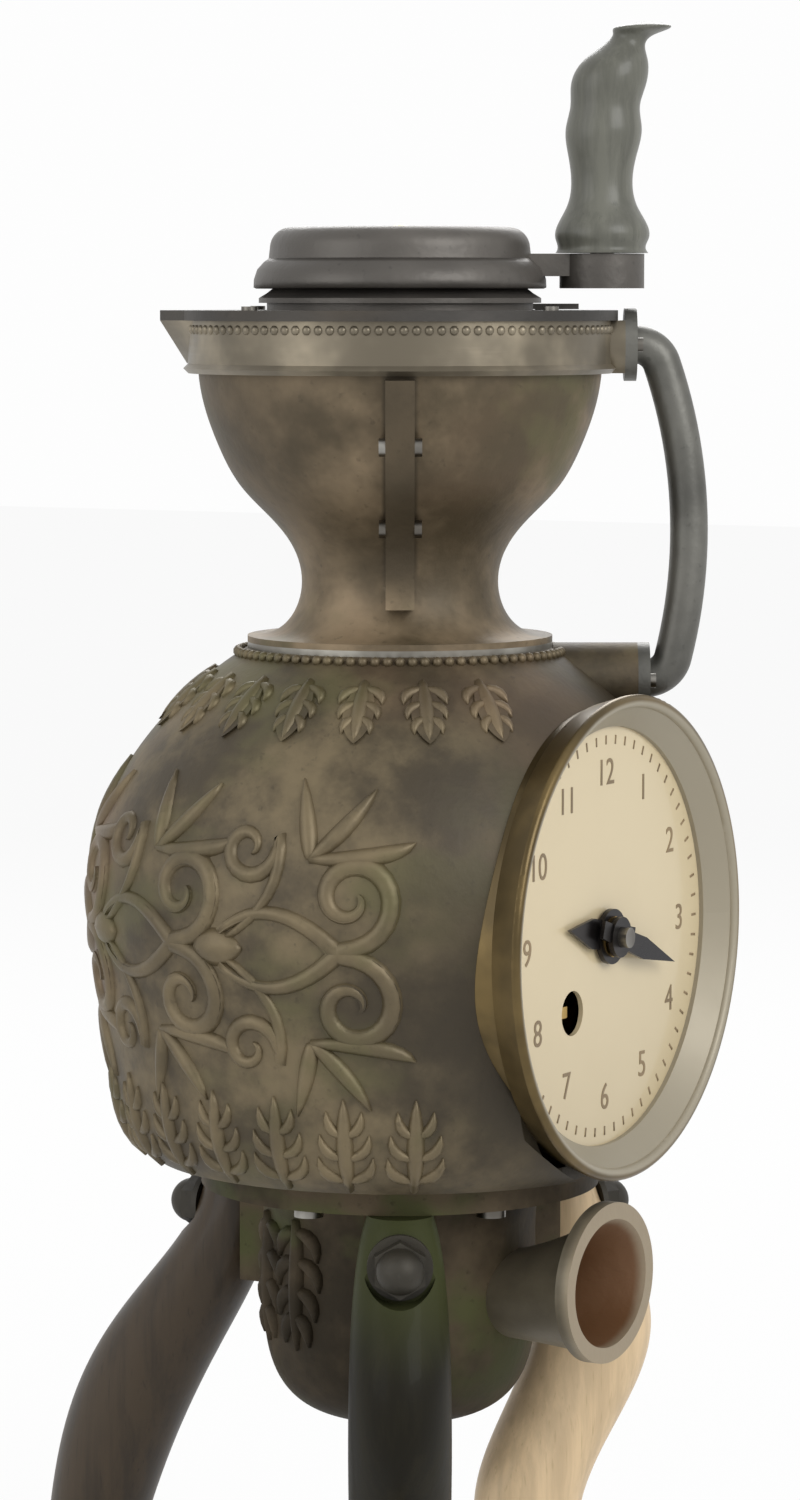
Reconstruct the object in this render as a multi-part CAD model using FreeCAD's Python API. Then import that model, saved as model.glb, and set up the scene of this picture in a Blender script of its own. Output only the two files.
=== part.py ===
"""Footed coffee mill with a turn-counting dial.

The spindle is the Z axis, the floor is z = 0 and the dial faces +X.  The hopper, the crank and the
C-shaped handle share one upright plane that is turned round from the dial.
Lengths are in millimetres and angles in degrees.
"""
import math
import os

import FreeCAD
import Part

V = FreeCAD.Vector
UP = V(0, 0, 1)

# Fits and joints
RUN = 0.08              # radial clearance of every running fit
SEAT = 0.05             # radial clearance of pieces that are pushed together and stay
FACE_GAP = 0.2          # axial gap between faces that turn on each other

# Feet and legs
FOOT_CIRCLE_R = 80.0    # circle of the three floor screws
FOOT_OFFSET = 17.0      # from a leg's foot to its floor screw
FOOT_HOLE_R = 2.2
PAD_T = 5.0
PAD_HALF_W = 12.5
DOWEL_R = 3.0
DOWEL_L = 12.0
FOOT_HALF = 11.0        # half thickness of a leg at the floor
KNEE_DEPTH = 16.5       # half depth of a leg at its knee, outwards from the spindle
KNEE_HALF_W = 12.5      # half width of a leg at its knee
ANKLE_Z = 34.0
SHIN_Z = 70.0
KNEE_Z = 102.0
REAR_KNEE_R = 70.0
REAR_SHIN_R = 86.0
FRONT_KNEE_R = 57.0
FRONT_SHIN_R = 41.0
LEG_ANGLES = {"rear_leg": 180.0, "front_leg_left": 60.0, "front_leg_right": -60.0}
LEG_BOLT_R = 3.0
LEG_BOLT_HEAD_R = 8.0
LEG_BOLT_SINK = 7.0     # length of bolt in its lug
LEG_GRIP = 14.0         # thickness of leg under the bolt head

# Lower bowl
BOWL_BOTTOM_Z = 90.0
BOWL_FLANGE_R = 50.0
BOWL_FLANGE_T = 4.5
BOWL_TOP_Z = 153.0
BOWL_TOP_R = 36.0
BOWL_FLOOR_R = 19.0
BOWL_WALL = 3.5
HUB_R = 12.0
SPIGOT_R = 7.0
SPIGOT_L = 8.0
LUG_R = 42.0
LUG_HALF_W = 9.0
LUG_BOTTOM_Z = 120.0
BOWL_SCREW_R = 2.0
BOWL_SCREW_EDGE = 5.5   # of each flange screw from the flange's edge

# Grind adjuster
PIN_R = 4.0
PIN_FLAT = 3.2          # distance of the pin's flat from its axis
NUT_R = 13.0
NUT_H = 16.0
NUT_SCALLOPS = 12
NUT_PITCH = 1.0         # rise of the pin in one turn of the nut
LIFT = 1.0              # greatest rise or fall of the spindle

# Globe
GLOBE_WALL = 3.0
GLOBE_BELLY_R = 77.5
GLOBE_BELLY_Z = 218.0
GLOBE_TOP_R = 38.0
GLOBE_TOP_Z = 283.0
PLATE_T = 3.0           # plate between the globe and the lower bowl
DUCT_X = -22.0
DUCT_R = 9.5
DUCT_WALL = 1.5

# Relief cast on the globe
RELIEF_H = 0.9
SCROLL_W = 3.4
SCROLLS = 7
SCROLL_STEP = 34.0
SCROLL_Z = 216.0
LEAVES = 17
LEAF_FIRST, LEAF_LAST = 48.0, 324.0
LEAF_DROP = 12.0        # of the middle of each shoulder leaf under the globe's top
LEAF_HALF_L = 6.8
LEAF_HALF_W = 3.8

# Dial and its train
DIAL_Z = 214.0
DIAL_INSET = 19.5       # of the front of the dial's case inside the belly's radius
CASE_L = 36.0
CASE_R = 56.0
CASE_WALL = 3.5
CASE_BACK_T = 3.0
DIAL_R = 53.0
DIAL_T = 1.2
BEZEL_R = 59.5
BEZEL_T = 8.0
BEZEL_INNER_R = 51.5
KEYHOLE_R = 5.5
ARBOR_R = 3.0
PIPE_R = 5.0
MINUTE_ARBOR_R = 2.0
TRAIN_PLATE_R = 46.0
TRAIN_PLATE_T = 2.0
TRAIN_DEPTH = 10.0      # of the train's front plate behind the front of the case
PILLAR_R = 3.0
PILLAR_CIRCLE_R = 41.0
PRESSURE = 25.0         # pressure angle of all teeth
ADDENDUM = 0.8          # tooth heights in modules
DEDENDUM = 1.05
BACKLASH = 0.16         # play along the pitch circle of each pair of wheels
BEVEL_TEETH = 16
BEVEL_MODULE = 1.25
BEVEL_FACE = 4.5
CANNON_TEETH = 12
MINUTE_TEETH = 36
MINUTE_MODULE = 1.0
PINION_TEETH = 12
HOUR_TEETH = 48
CENTRE_DISTANCE = MINUTE_MODULE * (CANNON_TEETH + MINUTE_TEETH) / 2
HOUR_MODULE = 2 * CENTRE_DISTANCE / (PINION_TEETH + HOUR_TEETH)
WHEEL_T = 3.0
SIDE_ANGLE = 225.0      # where the side arbor stands, seen from the front of the dial
SHORT_HAND_ANGLE = 170.0
LONG_HAND_ANGLE = -18.0
SHORT_HAND_L = 22.0
LONG_HAND_L = 31.0
HAND_T = 0.9

# Hopper and lid
TURN = 30.0             # plane of the crank and the handle, turned from the dial
RIM_R = 50.0
RIM_Z = 364.0
BAND_H = 13.0
BAND_T = 2.5
NECK_R = 24.5
NECK_Z = 298.0
HOPPER_FLANGE_R = 38.0
HOPPER_WALL = 3.0
RIB_H = 6.0
RIB_T = 3.5
LID_T = 2.5
BRIM_R = 54.0
LIP_R = 59.5
DRUM_R = 33.0
DRUM_H = 6.5
DRUM_WALL = 2.5
FILL_ANGLE = 90.0
FILL_SPAN = 60.0
FILL_INNER_R = 35.5
FILL_OUTER_R = 47.0
SHUTTER_T = 1.4
SHUTTER_R = 48.5
SHUTTER_SPAN = 76.0

# Burrs and tray
BURR_TOP_Z = 309.0
BURR_H = 22.0
CONE_TOP_R = 12.0
CONE_BOTTOM_R = 17.0
CONE_TEETH = 12
BURR_GAP = 0.8
TOOTH_DEPTH = 2.2
TRAY_FLOOR_Z = 271.0
TRAY_R = 33.0
TRAY_T = 1.5

# Spindle, crank and grip
SPINDLE_R = 4.0
KEY_W = 2.0
KEY_H = 1.2
BUSH_R = 7.0
THROW = 50.0
CRANK_SQUARE = 5.6
CRANK_GAP = 1.3
CAP_R = 33.0
CAP_H = 12.0
CAP_WALL = 3.0
CAP_HUB_R = 11.0
NUT_WELL = 7.0          # depth of the well that hides the crank nut
NUT_WELL_R = 8.0
CRANK_NUT_R = 6.0
ARM_W = 13.0
ARM_T = 5.5
EYE_R = 10.5
EYE_DROP = 3.0
GRIP_PIN_R = 3.0
GRIP_L = 56.5
GRIP_FOOT_R = 11.5
GRIP_WAIST_R = 8.4
GRIP_CURL = 11.0

# Side handle
HANDLE_TOP_Z = 358.0
HANDLE_FOOT_Z = 275.0
HANDLE_REACH = 12.0
HANDLE_BEND = 7.0       # radius of the tight bend at each palm
HANDLE_BAR_R = 4.7
PALM_R = 9.0
PALM_T = 3.0
PALM_BOSS = 3.0
PALM_SCREW_R = 1.4
PALM_SCREW_SIDE = 6.9   # of each palm screw from the middle of its palm
PALM_HEAD_R = 1.8

# Chute
CHUTE_MOUTH_X = 60.0
CHUTE_MOUTH_W = 42.0
CHUTE_MOUTH_H = 36.0
CHUTE_MOUTH_Z = 128.0
CHUTE_ROOT_X = 24.0
CHUTE_ROOT_W = 24.0
CHUTE_ROOT_H = 20.0
CHUTE_ROOT_Z = 122.0
CHUTE_FLARE = 0.32      # share of the widening that lies in the chute's first half
CHUTE_WALL = 2.0
CHUTE_LIP = 1.8         # the mouth's rolled edge stands this far out
CHUTE_LIP_L = 3.5

# Heights that follow from the stack of pieces
PLATE_Z = BOWL_TOP_Z
GLOBE_BOTTOM_Z = PLATE_Z + PLATE_T
HUB_TOP_Z = PLATE_Z - 10.0
PIN_TOP_Z = PLATE_Z - 2.0
BOWL_SCREW_CIRCLE_R = BOWL_FLANGE_R - BOWL_SCREW_EDGE
TRAY_FLANGE_T = 1.5
HOPPER_Z = GLOBE_TOP_Z + TRAY_FLANGE_T
LID_Z = RIM_Z
DRUM_Z = LID_Z + LID_T
DRUM_TOP_Z = DRUM_Z + DRUM_H
BUSH_TOP_Z = DRUM_TOP_Z + 0.6
CRANK_Z = BUSH_TOP_Z + CRANK_GAP
CRANK_TOP_Z = CRANK_Z + CAP_H
NUT_SEAT_Z = CRANK_TOP_Z - NUT_WELL
ARM_TOP_Z = CRANK_Z + ARM_T
GRIP_Z = ARM_TOP_Z + FACE_GAP
BURR_BOTTOM_Z = BURR_TOP_Z - BURR_H
RING_R = NECK_R - HOPPER_WALL - SEAT
BOLT_Z = (LUG_BOTTOM_Z + BOWL_TOP_Z - BOWL_FLANGE_T) / 2 + 3.0
BEVEL_R = BEVEL_MODULE * BEVEL_TEETH / 2
CASE_FRONT_X = GLOBE_BELLY_R - DIAL_INSET
CASE_BACK_X = CASE_FRONT_X - CASE_L
TRAIN_PLATE_X = CASE_FRONT_X - TRAIN_DEPTH
DIAL_X = CASE_FRONT_X - DIAL_T


def save(name, shape):
    """Write one piece, or one group of like pieces, to its own file."""
    shape.exportStep("parts/" + name + ".step")


def cyl(radius, z0, z1, x=0.0, y=0.0):
    return Part.makeCylinder(radius, z1 - z0, V(x, y, z0), UP)


def ring(outer, inner, z0, z1):
    return cyl(outer, z0, z1).cut(cyl(inner, z0, z1))


def box(x0, x1, y0, y1, z0, z1):
    return Part.makeBox(x1 - x0, y1 - y0, z1 - z0, V(x0, y0, z0))


def turned(shape, angle):
    """A copy of the shape, turned about the spindle."""
    copy = shape.copy()
    copy.rotate(V(0, 0, 0), UP, angle)
    return copy


def radial_cyl(radius, r0, r1, z, angle, side=0.0):
    """A cylinder that points away from the spindle, from r0 out to r1."""
    return turned(Part.makeCylinder(radius, r1 - r0, V(r0, side, z), V(1, 0, 0)), angle)


def spin(edges):
    """Revolve closed edges, drawn as (radius, height), about the spindle."""
    return Part.Face(Part.Wire(edges)).revolve(V(0, 0, 0), UP, 360)


def spin_polygon(points):
    corners = [V(r, 0, z) for r, z in points]
    return Part.Face(Part.makePolygon(corners + corners[:1])).revolve(V(0, 0, 0), UP, 360)


def spin_curve(points, floor_z, top_z):
    """A solid of revolution whose side is one smooth curve, from its foot to its top."""
    side = [V(r, 0, z) for r, z in points]
    curve = Part.BSplineCurve()
    curve.interpolate(side)
    low, high = V(0, 0, floor_z), V(0, 0, top_z)
    edges = [curve.toShape()]
    corners = [side[-1], V(side[-1].x, 0, top_z), high, low, V(side[0].x, 0, floor_z), side[0]]
    for a, b in zip(corners, corners[1:]):
        if (a - b).Length > 1e-6:
            edges.append(Part.makeLine(a, b))
    return spin(edges)


def inset(points, wall):
    return [(r - wall, z) for r, z in points]


def dial(shape):
    """Set a piece drawn flat, x to the right and y up, on the axis of the dial."""
    shape.rotate(V(0, 0, 0), V(1, 1, 1), 120)
    shape.translate(V(0, 0, DIAL_Z))
    return shape


def polar(radius, angle):
    a = math.radians(angle)
    return V(radius * math.cos(a), radius * math.sin(a), 0)


def half_tooth(radius, pitch_r, teeth, play):
    """Half the angle that one tooth covers at this radius, in radians, on an involute flank."""
    base = pitch_r * math.cos(math.radians(PRESSURE))
    involute = math.tan(math.radians(PRESSURE)) - math.radians(PRESSURE)
    at_pitch = math.pi / (2 * teeth) - play / (4 * pitch_r)
    if radius <= base:
        return at_pitch + involute
    a = math.acos(base / radius)
    return at_pitch + involute - (math.tan(a) - a)


def gear(teeth, module, thickness, bore, phase):
    """A spur wheel with involute teeth; one tooth points along the phase angle."""
    pitch_r = teeth * module / 2
    root = pitch_r - DEDENDUM * module
    tip = pitch_r + ADDENDUM * module
    base = pitch_r * math.cos(math.radians(PRESSURE))
    flank = [root, max(root, base), pitch_r, tip]
    points = []
    for i in range(teeth):
        middle = math.radians(phase) + 2 * math.pi * i / teeth
        for r in flank:
            a = middle - half_tooth(r, pitch_r, teeth, BACKLASH)
            points.append(V(r * math.cos(a), r * math.sin(a), 0))
        for r in reversed(flank):
            a = middle + half_tooth(r, pitch_r, teeth, BACKLASH)
            points.append(V(r * math.cos(a), r * math.sin(a), 0))
    corners = [points[0]]
    for p in points[1:]:
        if (p - corners[-1]).Length > 1e-6:
            corners.append(p)
    face = Part.Face(Part.makePolygon(corners + corners[:1]))
    return face.extrude(V(0, 0, thickness)).cut(cyl(bore, 0, thickness))


def bevel_tooth(azimuth):
    """One tooth of a mitre wheel: its outline on the back cone, drawn down towards the apex."""
    slope = math.cos(math.radians(45))
    virtual_r = BEVEL_R / slope
    virtual_teeth = BEVEL_TEETH / slope
    out = polar(1, azimuth)
    rise = (out - UP) * slope
    across = UP.cross(out)
    centre = out * BEVEL_R + UP * BEVEL_R - rise * virtual_r
    root = virtual_r - (DEDENDUM + 0.5) * BEVEL_MODULE
    flank = [root, virtual_r, virtual_r + ADDENDUM * BEVEL_MODULE]
    outline = []
    for sign, radii in ((-1, flank), (1, flank[::-1])):
        for r in radii:
            a = sign * half_tooth(r, virtual_r, virtual_teeth, BACKLASH)
            outline.append(centre + rise * (r * math.cos(a)) + across * (r * math.sin(a)))
    inner = 1 - BEVEL_FACE / (BEVEL_R / slope)
    small = [p * inner for p in outline]
    wires = [Part.makePolygon(ps + ps[:1]) for ps in (outline, small)]
    return Part.makeLoft(wires, True, True)


def bevel_wheel(phase, bore, hub_r, hub_l):
    """A mitre wheel with its apex at the origin and its back away along +Z."""
    slope = math.cos(math.radians(45))
    drop = DEDENDUM * BEVEL_MODULE * slope
    root_r, root_z = BEVEL_R - drop, BEVEL_R + drop
    inner = 1 - BEVEL_FACE / (BEVEL_R / slope)
    back = root_z + hub_l
    reach = root_r - hub_r
    profile = [(bore, root_z * inner), (root_r * inner, root_z * inner), (root_r, root_z),
               (hub_r, root_z + reach), (hub_r, back + reach), (bore, back + reach)]
    blank = spin_polygon(profile)
    step = 360.0 / BEVEL_TEETH
    return blank.multiFuse([bevel_tooth(phase + i * step) for i in range(BEVEL_TEETH)])


def acorn(radius, height, z):
    """A domed nut that stands on z."""
    collar = height * 0.35
    dome = Part.makeSphere(radius * 0.82, V(0, 0, z + collar), UP, 0, 90, 360)
    hexagon = Part.makePolygon([polar(radius, 60 * i) + V(0, 0, z) for i in range(7)])
    return Part.Face(hexagon).extrude(V(0, 0, collar)).fuse(dome)


def oval(r, z, depth, half_w):
    """A level oval section, at least as deep, away from the spindle, as it is wide."""
    if depth - half_w < 1e-6:
        return Part.Wire(Part.Circle(V(r, 0, z), UP, depth).toShape())
    return Part.Wire(Part.Ellipse(V(r + depth, 0, z), V(r, half_w, z), V(r, 0, z)).toShape())


def leg(name, angle):
    """One shaped wooden leg with a rebate for its lug, a bolt hole and a dowel hole."""
    rear = name == "rear_leg"
    foot_r = FOOT_CIRCLE_R + (FOOT_OFFSET if rear else -FOOT_OFFSET)
    knee_r, shin_r = (REAR_KNEE_R, REAR_SHIN_R) if rear else (FRONT_KNEE_R, FRONT_SHIN_R)
    top_z = BOWL_TOP_Z - BOWL_FLANGE_T
    ankle_r = foot_r - 2.0 if rear else (foot_r + shin_r) / 2 - 6.0
    seat_r = LUG_R + LEG_GRIP / 2
    stations = [
        (seat_r - 1.0, top_z, LEG_GRIP / 2 + 1.0, LEG_GRIP / 2 + 1.0),
        (seat_r + 1.0, BOLT_Z - 4.0, LEG_GRIP / 2 + 4.0, LEG_GRIP / 2 + 4.0),
        (knee_r, KNEE_Z, KNEE_DEPTH, KNEE_HALF_W),
        (shin_r, SHIN_Z, KNEE_DEPTH - 1.0, KNEE_HALF_W),
        (ankle_r, ANKLE_Z, FOOT_HALF + 1.0, FOOT_HALF),
        (foot_r, PAD_T, FOOT_HALF, FOOT_HALF),
    ]
    sections = [oval(*station) for station in stations]
    body = Part.makeLoft(sections, True, False)
    rebate = box(0, LUG_R, -2 * KNEE_HALF_W, 2 * KNEE_HALF_W, LUG_BOTTOM_Z, top_z + 1)
    spot = Part.makeCylinder(LEG_BOLT_HEAD_R + 1, FOOT_CIRCLE_R, V(LUG_R + LEG_GRIP, 0, BOLT_Z), V(1, 0, 0))
    hole = Part.makeCylinder(LEG_BOLT_R + SEAT, LEG_GRIP, V(LUG_R, 0, BOLT_Z), V(1, 0, 0))
    dowel = cyl(DOWEL_R + SEAT, PAD_T, PAD_T + DOWEL_L + 1, foot_r)
    return turned(body.cut(rebate).cut(spot).cut(hole).cut(dowel), angle)


def foot_pads():
    """Iron shoes: a rounded plate with the floor-screw hole and a dowel up into the leg."""
    pads = []
    for name, angle in LEG_ANGLES.items():
        way = 1 if name == "rear_leg" else -1
        foot_r = FOOT_CIRCLE_R + way * FOOT_OFFSET
        plate = cyl(PAD_HALF_W, 0, PAD_T, foot_r).fuse(cyl(PAD_HALF_W * 0.7, 0, PAD_T, FOOT_CIRCLE_R))
        low, high = sorted((foot_r, FOOT_CIRCLE_R))
        web = box(low, high, -PAD_HALF_W * 0.7, PAD_HALF_W * 0.7, 0, PAD_T)
        dowel = cyl(DOWEL_R, PAD_T, PAD_T + DOWEL_L, foot_r)
        hole = cyl(FOOT_HOLE_R, 0, PAD_T, FOOT_CIRCLE_R)
        pads.append(turned(plate.fuse(web).fuse(dowel).cut(hole).removeSplitter(), angle))
    return Part.makeCompound(pads)


def leg_bolts():
    """A domed bolt for each leg, through the leg and into its lug."""
    head = LUG_R + LEG_GRIP
    shank = cyl(LEG_BOLT_R, LUG_R - LEG_BOLT_SINK, head + 1)
    washer = cyl(LEG_BOLT_HEAD_R, head, head + 1.5)
    bolt = shank.fuse(washer).fuse(acorn(LEG_BOLT_HEAD_R - 1, 12.0, head + 1.5)).removeSplitter()
    bolt.rotate(V(0, 0, 0), V(0, 1, 0), 90)
    bolt.translate(V(0, 0, BOLT_Z))
    return Part.makeCompound([turned(bolt, angle) for angle in LEG_ANGLES.values()])


def bowl_curve():
    """Side of the bowl: nearly upright, drawn in quickly to its floor."""
    top = BOWL_TOP_Z - BOWL_FLANGE_T
    deep = top - BOWL_BOTTOM_Z
    return [(BOWL_FLOOR_R, BOWL_BOTTOM_Z), (BOWL_TOP_R * 0.83, BOWL_BOTTOM_Z + deep * 0.13),
            (BOWL_TOP_R * 0.95, BOWL_BOTTOM_Z + deep * 0.38), (BOWL_TOP_R, top)]


def bowl_outside():
    return spin_curve(bowl_curve(), BOWL_BOTTOM_Z, BOWL_TOP_Z)


def pin_bore(extra, z0, z1):
    """The thrust pin's section, a round with one flat, grown by a clearance."""
    return cyl(PIN_R + extra, z0, z1).cut(box(PIN_FLAT + extra, 2 * PIN_R, -PIN_R * 2, PIN_R * 2, z0, z1))


def chute_oval(x, half_w, half_h, z):
    """An upright oval across the chute, at least as wide as it is high."""
    return Part.Wire(Part.Ellipse(V(x, half_w, z), V(x, 0, z + half_h), V(x, 0, z)).toShape())


def chute_loft(wall, overrun):
    """The chute's oval section, drawn from inside the bowl out to its flaring mouth."""
    root = (CHUTE_ROOT_W / 2, CHUTE_ROOT_H / 2, CHUTE_ROOT_Z)
    mouth = (CHUTE_MOUTH_W / 2, CHUTE_MOUTH_H / 2, CHUTE_MOUTH_Z)
    middle = [r + (m - r) * CHUTE_FLARE for r, m in zip(root, mouth)]
    half_x = (CHUTE_ROOT_X + CHUTE_MOUTH_X) / 2
    stations = ((CHUTE_ROOT_X, root), (half_x, middle), (CHUTE_MOUTH_X + overrun, mouth))
    wires = [chute_oval(x, w - wall, h - wall, z) for x, (w, h, z) in stations]
    return Part.makeLoft(wires, True, False)


def lower_bowl():
    """Cast bowl: flange, three lugs for the legs, a hub for the thrust pin and a spigot for the nut."""
    flange_z = BOWL_TOP_Z - BOWL_FLANGE_T
    curve = bowl_curve()
    inner = spin_curve(inset(curve, BOWL_WALL), BOWL_BOTTOM_Z, BOWL_TOP_Z)
    inner = inner.cut(cyl(BOWL_TOP_R, BOWL_BOTTOM_Z, BOWL_BOTTOM_Z + BOWL_WALL))
    shell = bowl_outside().fuse(cyl(BOWL_FLANGE_R, flange_z, BOWL_TOP_Z))
    for angle in LEG_ANGLES.values():
        lug = box(BOWL_FLOOR_R, LUG_R, -LUG_HALF_W, LUG_HALF_W, LUG_BOTTOM_Z, flange_z)
        shell = shell.fuse(turned(lug, angle))
    shell = shell.cut(inner)
    hub = cyl(HUB_R, BOWL_BOTTOM_Z, HUB_TOP_Z)
    spigot = cyl(SPIGOT_R, BOWL_BOTTOM_Z - SPIGOT_L, BOWL_BOTTOM_Z)
    groove = ring(SPIGOT_R, SPIGOT_R - 1.0, BOWL_BOTTOM_Z - 6.5, BOWL_BOTTOM_Z - 3.0)
    shell = shell.fuse(hub).fuse(spigot).cut(groove)
    shell = shell.cut(pin_bore(RUN, BOWL_BOTTOM_Z - SPIGOT_L, HUB_TOP_Z))
    for angle in LEG_ANGLES.values():
        shell = shell.cut(radial_cyl(LEG_BOLT_R + SEAT, LUG_R - LEG_BOLT_SINK - 0.5, LUG_R, BOLT_Z, angle))
    for k in range(6):
        spot = polar(BOWL_SCREW_CIRCLE_R, 30 + 60 * k)
        shell = shell.cut(cyl(BOWL_SCREW_R + SEAT, flange_z, BOWL_TOP_Z, spot.x, spot.y))
    return shell.cut(chute_loft(CHUTE_WALL, 0)).removeSplitter()


def discharge_chute():
    """Fan-shaped spout with a rolled mouth that stands on the front of the bowl."""
    start = CHUTE_MOUTH_X - CHUTE_LIP_L
    edge = chute_oval(start, CHUTE_MOUTH_W / 2 + CHUTE_LIP, CHUTE_MOUTH_H / 2 + CHUTE_LIP, CHUTE_MOUTH_Z)
    lip = Part.Face(edge).extrude(V(CHUTE_LIP_L, 0, 0))
    spout = chute_loft(0, 0).fuse(lip).cut(chute_loft(CHUTE_WALL, 0.5))
    return spout.cut(bowl_outside()).removeSplitter()


def bowl_screws():
    """Six screws up through the bowl's flange and the plate into the globe."""
    flange_z = BOWL_TOP_Z - BOWL_FLANGE_T
    screws = []
    for k in range(6):
        spot = polar(BOWL_SCREW_CIRCLE_R, 30 + 60 * k)
        shank = cyl(BOWL_SCREW_R, flange_z, GLOBE_BOTTOM_Z + 3.0, spot.x, spot.y)
        head = cyl(BOWL_SCREW_R * 1.8, flange_z - 2.2, flange_z, spot.x, spot.y)
        screws.append(shank.fuse(head))
    return Part.makeCompound(screws)


def adjusting_nut():
    """Scalloped hand nut that hangs on the bowl's spigot and screws on the thrust pin."""
    top = BOWL_BOTTOM_Z - FACE_GAP
    low = top - NUT_H
    points = [(0, low), (NUT_R * 0.3, low), (NUT_R * 0.62, low + NUT_H * 0.22), (NUT_R, low + NUT_H * 0.5),
              (NUT_R, low + NUT_H * 0.8), (NUT_R * 0.85, top), (0, top)]
    nut = spin_polygon(points)
    for k in range(NUT_SCALLOPS):
        spot = polar(NUT_R * 1.08, 360.0 * k / NUT_SCALLOPS)
        nut = nut.cut(cyl(NUT_R * 0.2, low, top, spot.x, spot.y))
    nut = nut.cut(cyl(SPIGOT_R + RUN, BOWL_BOTTOM_Z - SPIGOT_L - FACE_GAP, top))
    nut = nut.cut(cyl(PIN_R + RUN, low + 2.0, top))
    for k in range(2):
        angle = 180.0 * k + 15.0
        nut = nut.cut(radial_cyl(1.5 + SEAT, 0, NUT_R, BOWL_BOTTOM_Z - 4.75, angle))
    return nut


def nut_screws():
    """Two grub screws whose tips run in the spigot's groove and keep the nut on."""
    tip = SPIGOT_R - 1.0 + RUN
    z = BOWL_BOTTOM_Z - 4.75
    return Part.makeCompound([radial_cyl(1.5, tip, NUT_R * 0.85, z, 180.0 * k + 15.0) for k in range(2)])


def thrust_pin():
    low = BOWL_BOTTOM_Z - FACE_GAP - NUT_H + 2.0 + LIFT + 1.0
    return pin_bore(0, low, PIN_TOP_Z)


def globe_curve():
    """Side of the globe, from its foot to its shoulder: a full belly over a drawn-in foot."""
    below = GLOBE_BELLY_Z - GLOBE_BOTTOM_Z
    above = GLOBE_TOP_Z - GLOBE_BELLY_Z
    return [(GLOBE_BELLY_R * 0.8, GLOBE_BOTTOM_Z), (GLOBE_BELLY_R * 0.875, GLOBE_BOTTOM_Z + below * 0.09),
            (GLOBE_BELLY_R * 0.928, GLOBE_BOTTOM_Z + below * 0.28),
            (GLOBE_BELLY_R * 0.96, GLOBE_BOTTOM_Z + below * 0.6), (GLOBE_BELLY_R, GLOBE_BELLY_Z),
            (GLOBE_BELLY_R * 0.975, GLOBE_BELLY_Z + above * 0.29),
            (GLOBE_BELLY_R * 0.785, GLOBE_BELLY_Z + above * 0.7), (GLOBE_TOP_R, GLOBE_TOP_Z)]


def curve_r(points, z):
    """Radius of a smooth side at one height."""
    curve = Part.BSplineCurve()
    curve.interpolate([V(r, 0, level) for r, level in points])
    low, high = curve.FirstParameter, curve.LastParameter
    for _ in range(40):
        middle = (low + high) / 2
        if curve.value(middle).z < z:
            low = middle
        else:
            high = middle
    return curve.value(low).x


def globe_foot_r():
    """Where the handle's lower boss ends, clear of the globe below it."""
    return curve_r(globe_curve(), HANDLE_FOOT_Z - PALM_R) + 0.5


def palm_holes(shape, r0, z, depth):
    for side in (-1, 1):
        offset = side * PALM_SCREW_SIDE
        shape = shape.cut(radial_cyl(PALM_SCREW_R + SEAT, r0 - depth, r0, z, TURN, offset))
    return shape


def swell(t):
    """Share of its full width that a scroll has along its length: it ends in a fine tail."""
    return 0.15 + 0.85 * math.sin(math.pi * (0.08 + 0.92 * t)) ** 0.7


def spiral(centre, start_r, end_r, start_angle, turns, steps):
    points = []
    for i in range(steps + 1):
        t = i / steps
        r = start_r + (end_r - start_r) * t ** 0.8
        points.append(centre + polar(r, start_angle + 360 * turns * t))
    return points


def bend(start, bulge, end, steps):
    """Points on a bent line that is drawn towards a bulge point."""
    shares = [i / steps for i in range(steps + 1)]
    return [start * (1 - t) ** 2 + bulge * (2 * t * (1 - t)) + end * t * t for t in shares]


def ribbon(path, width):
    """A flat strip along a path, x across and y up, with two smooth sides."""
    sides = ([], [])
    last = len(path) - 1
    for i, point in enumerate(path):
        along = path[min(last, i + 1)] - path[max(0, i - 1)]
        across = UP.cross(along).normalize() * (width / 2 * swell(i / last))
        sides[0].append(point + across)
        sides[1].append(point - across)
    edges = []
    for side in sides:
        curve = Part.BSplineCurve()
        curve.interpolate(side)
        edges.append(curve.toShape())
    edges.append(Part.makeLine(sides[0][0], sides[1][0]))
    edges.append(Part.makeLine(sides[0][-1], sides[1][-1]))
    return Part.Face(Part.Wire(Part.__sortEdges__(edges)))


def raised(face, skin, z):
    """Stand a flat outline up on the globe at this height, through the skin of its wall."""
    shape = face.extrude(V(0, 0, GLOBE_TOP_R))
    shape.rotate(V(0, 0, 0), V(1, 1, 1), 120)
    shape.translate(V(GLOBE_BELLY_R + 2 * RELIEF_H - GLOBE_TOP_R, 0, z))
    return shape.common(skin)


def scroll_outlines():
    """The two big curls of one scroll motif of the belly, each with its stem."""
    outlines = []
    for way in (-1, 1):
        curl = spiral(V(12.5, 13.0 * way, 0), 12.5, 2.2, -100.0 * way, 1.35 * way, 18)
        stem = bend(V(-21, -4 * way, 0), V(-6, -16 * way, 0), curl[0], 5)
        outlines.append(ribbon(stem[:-1] + curl, SCROLL_W))
    return outlines


def leaf_outline():
    tip, side = V(0, LEAF_HALF_L, 0), V(LEAF_HALF_W, 0, 0)
    sides = [Part.Arc(tip, side, tip * -1).toShape(), Part.Arc(tip * -1, side * -1, tip).toShape()]
    return Part.Face(Part.Wire(sides))


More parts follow.
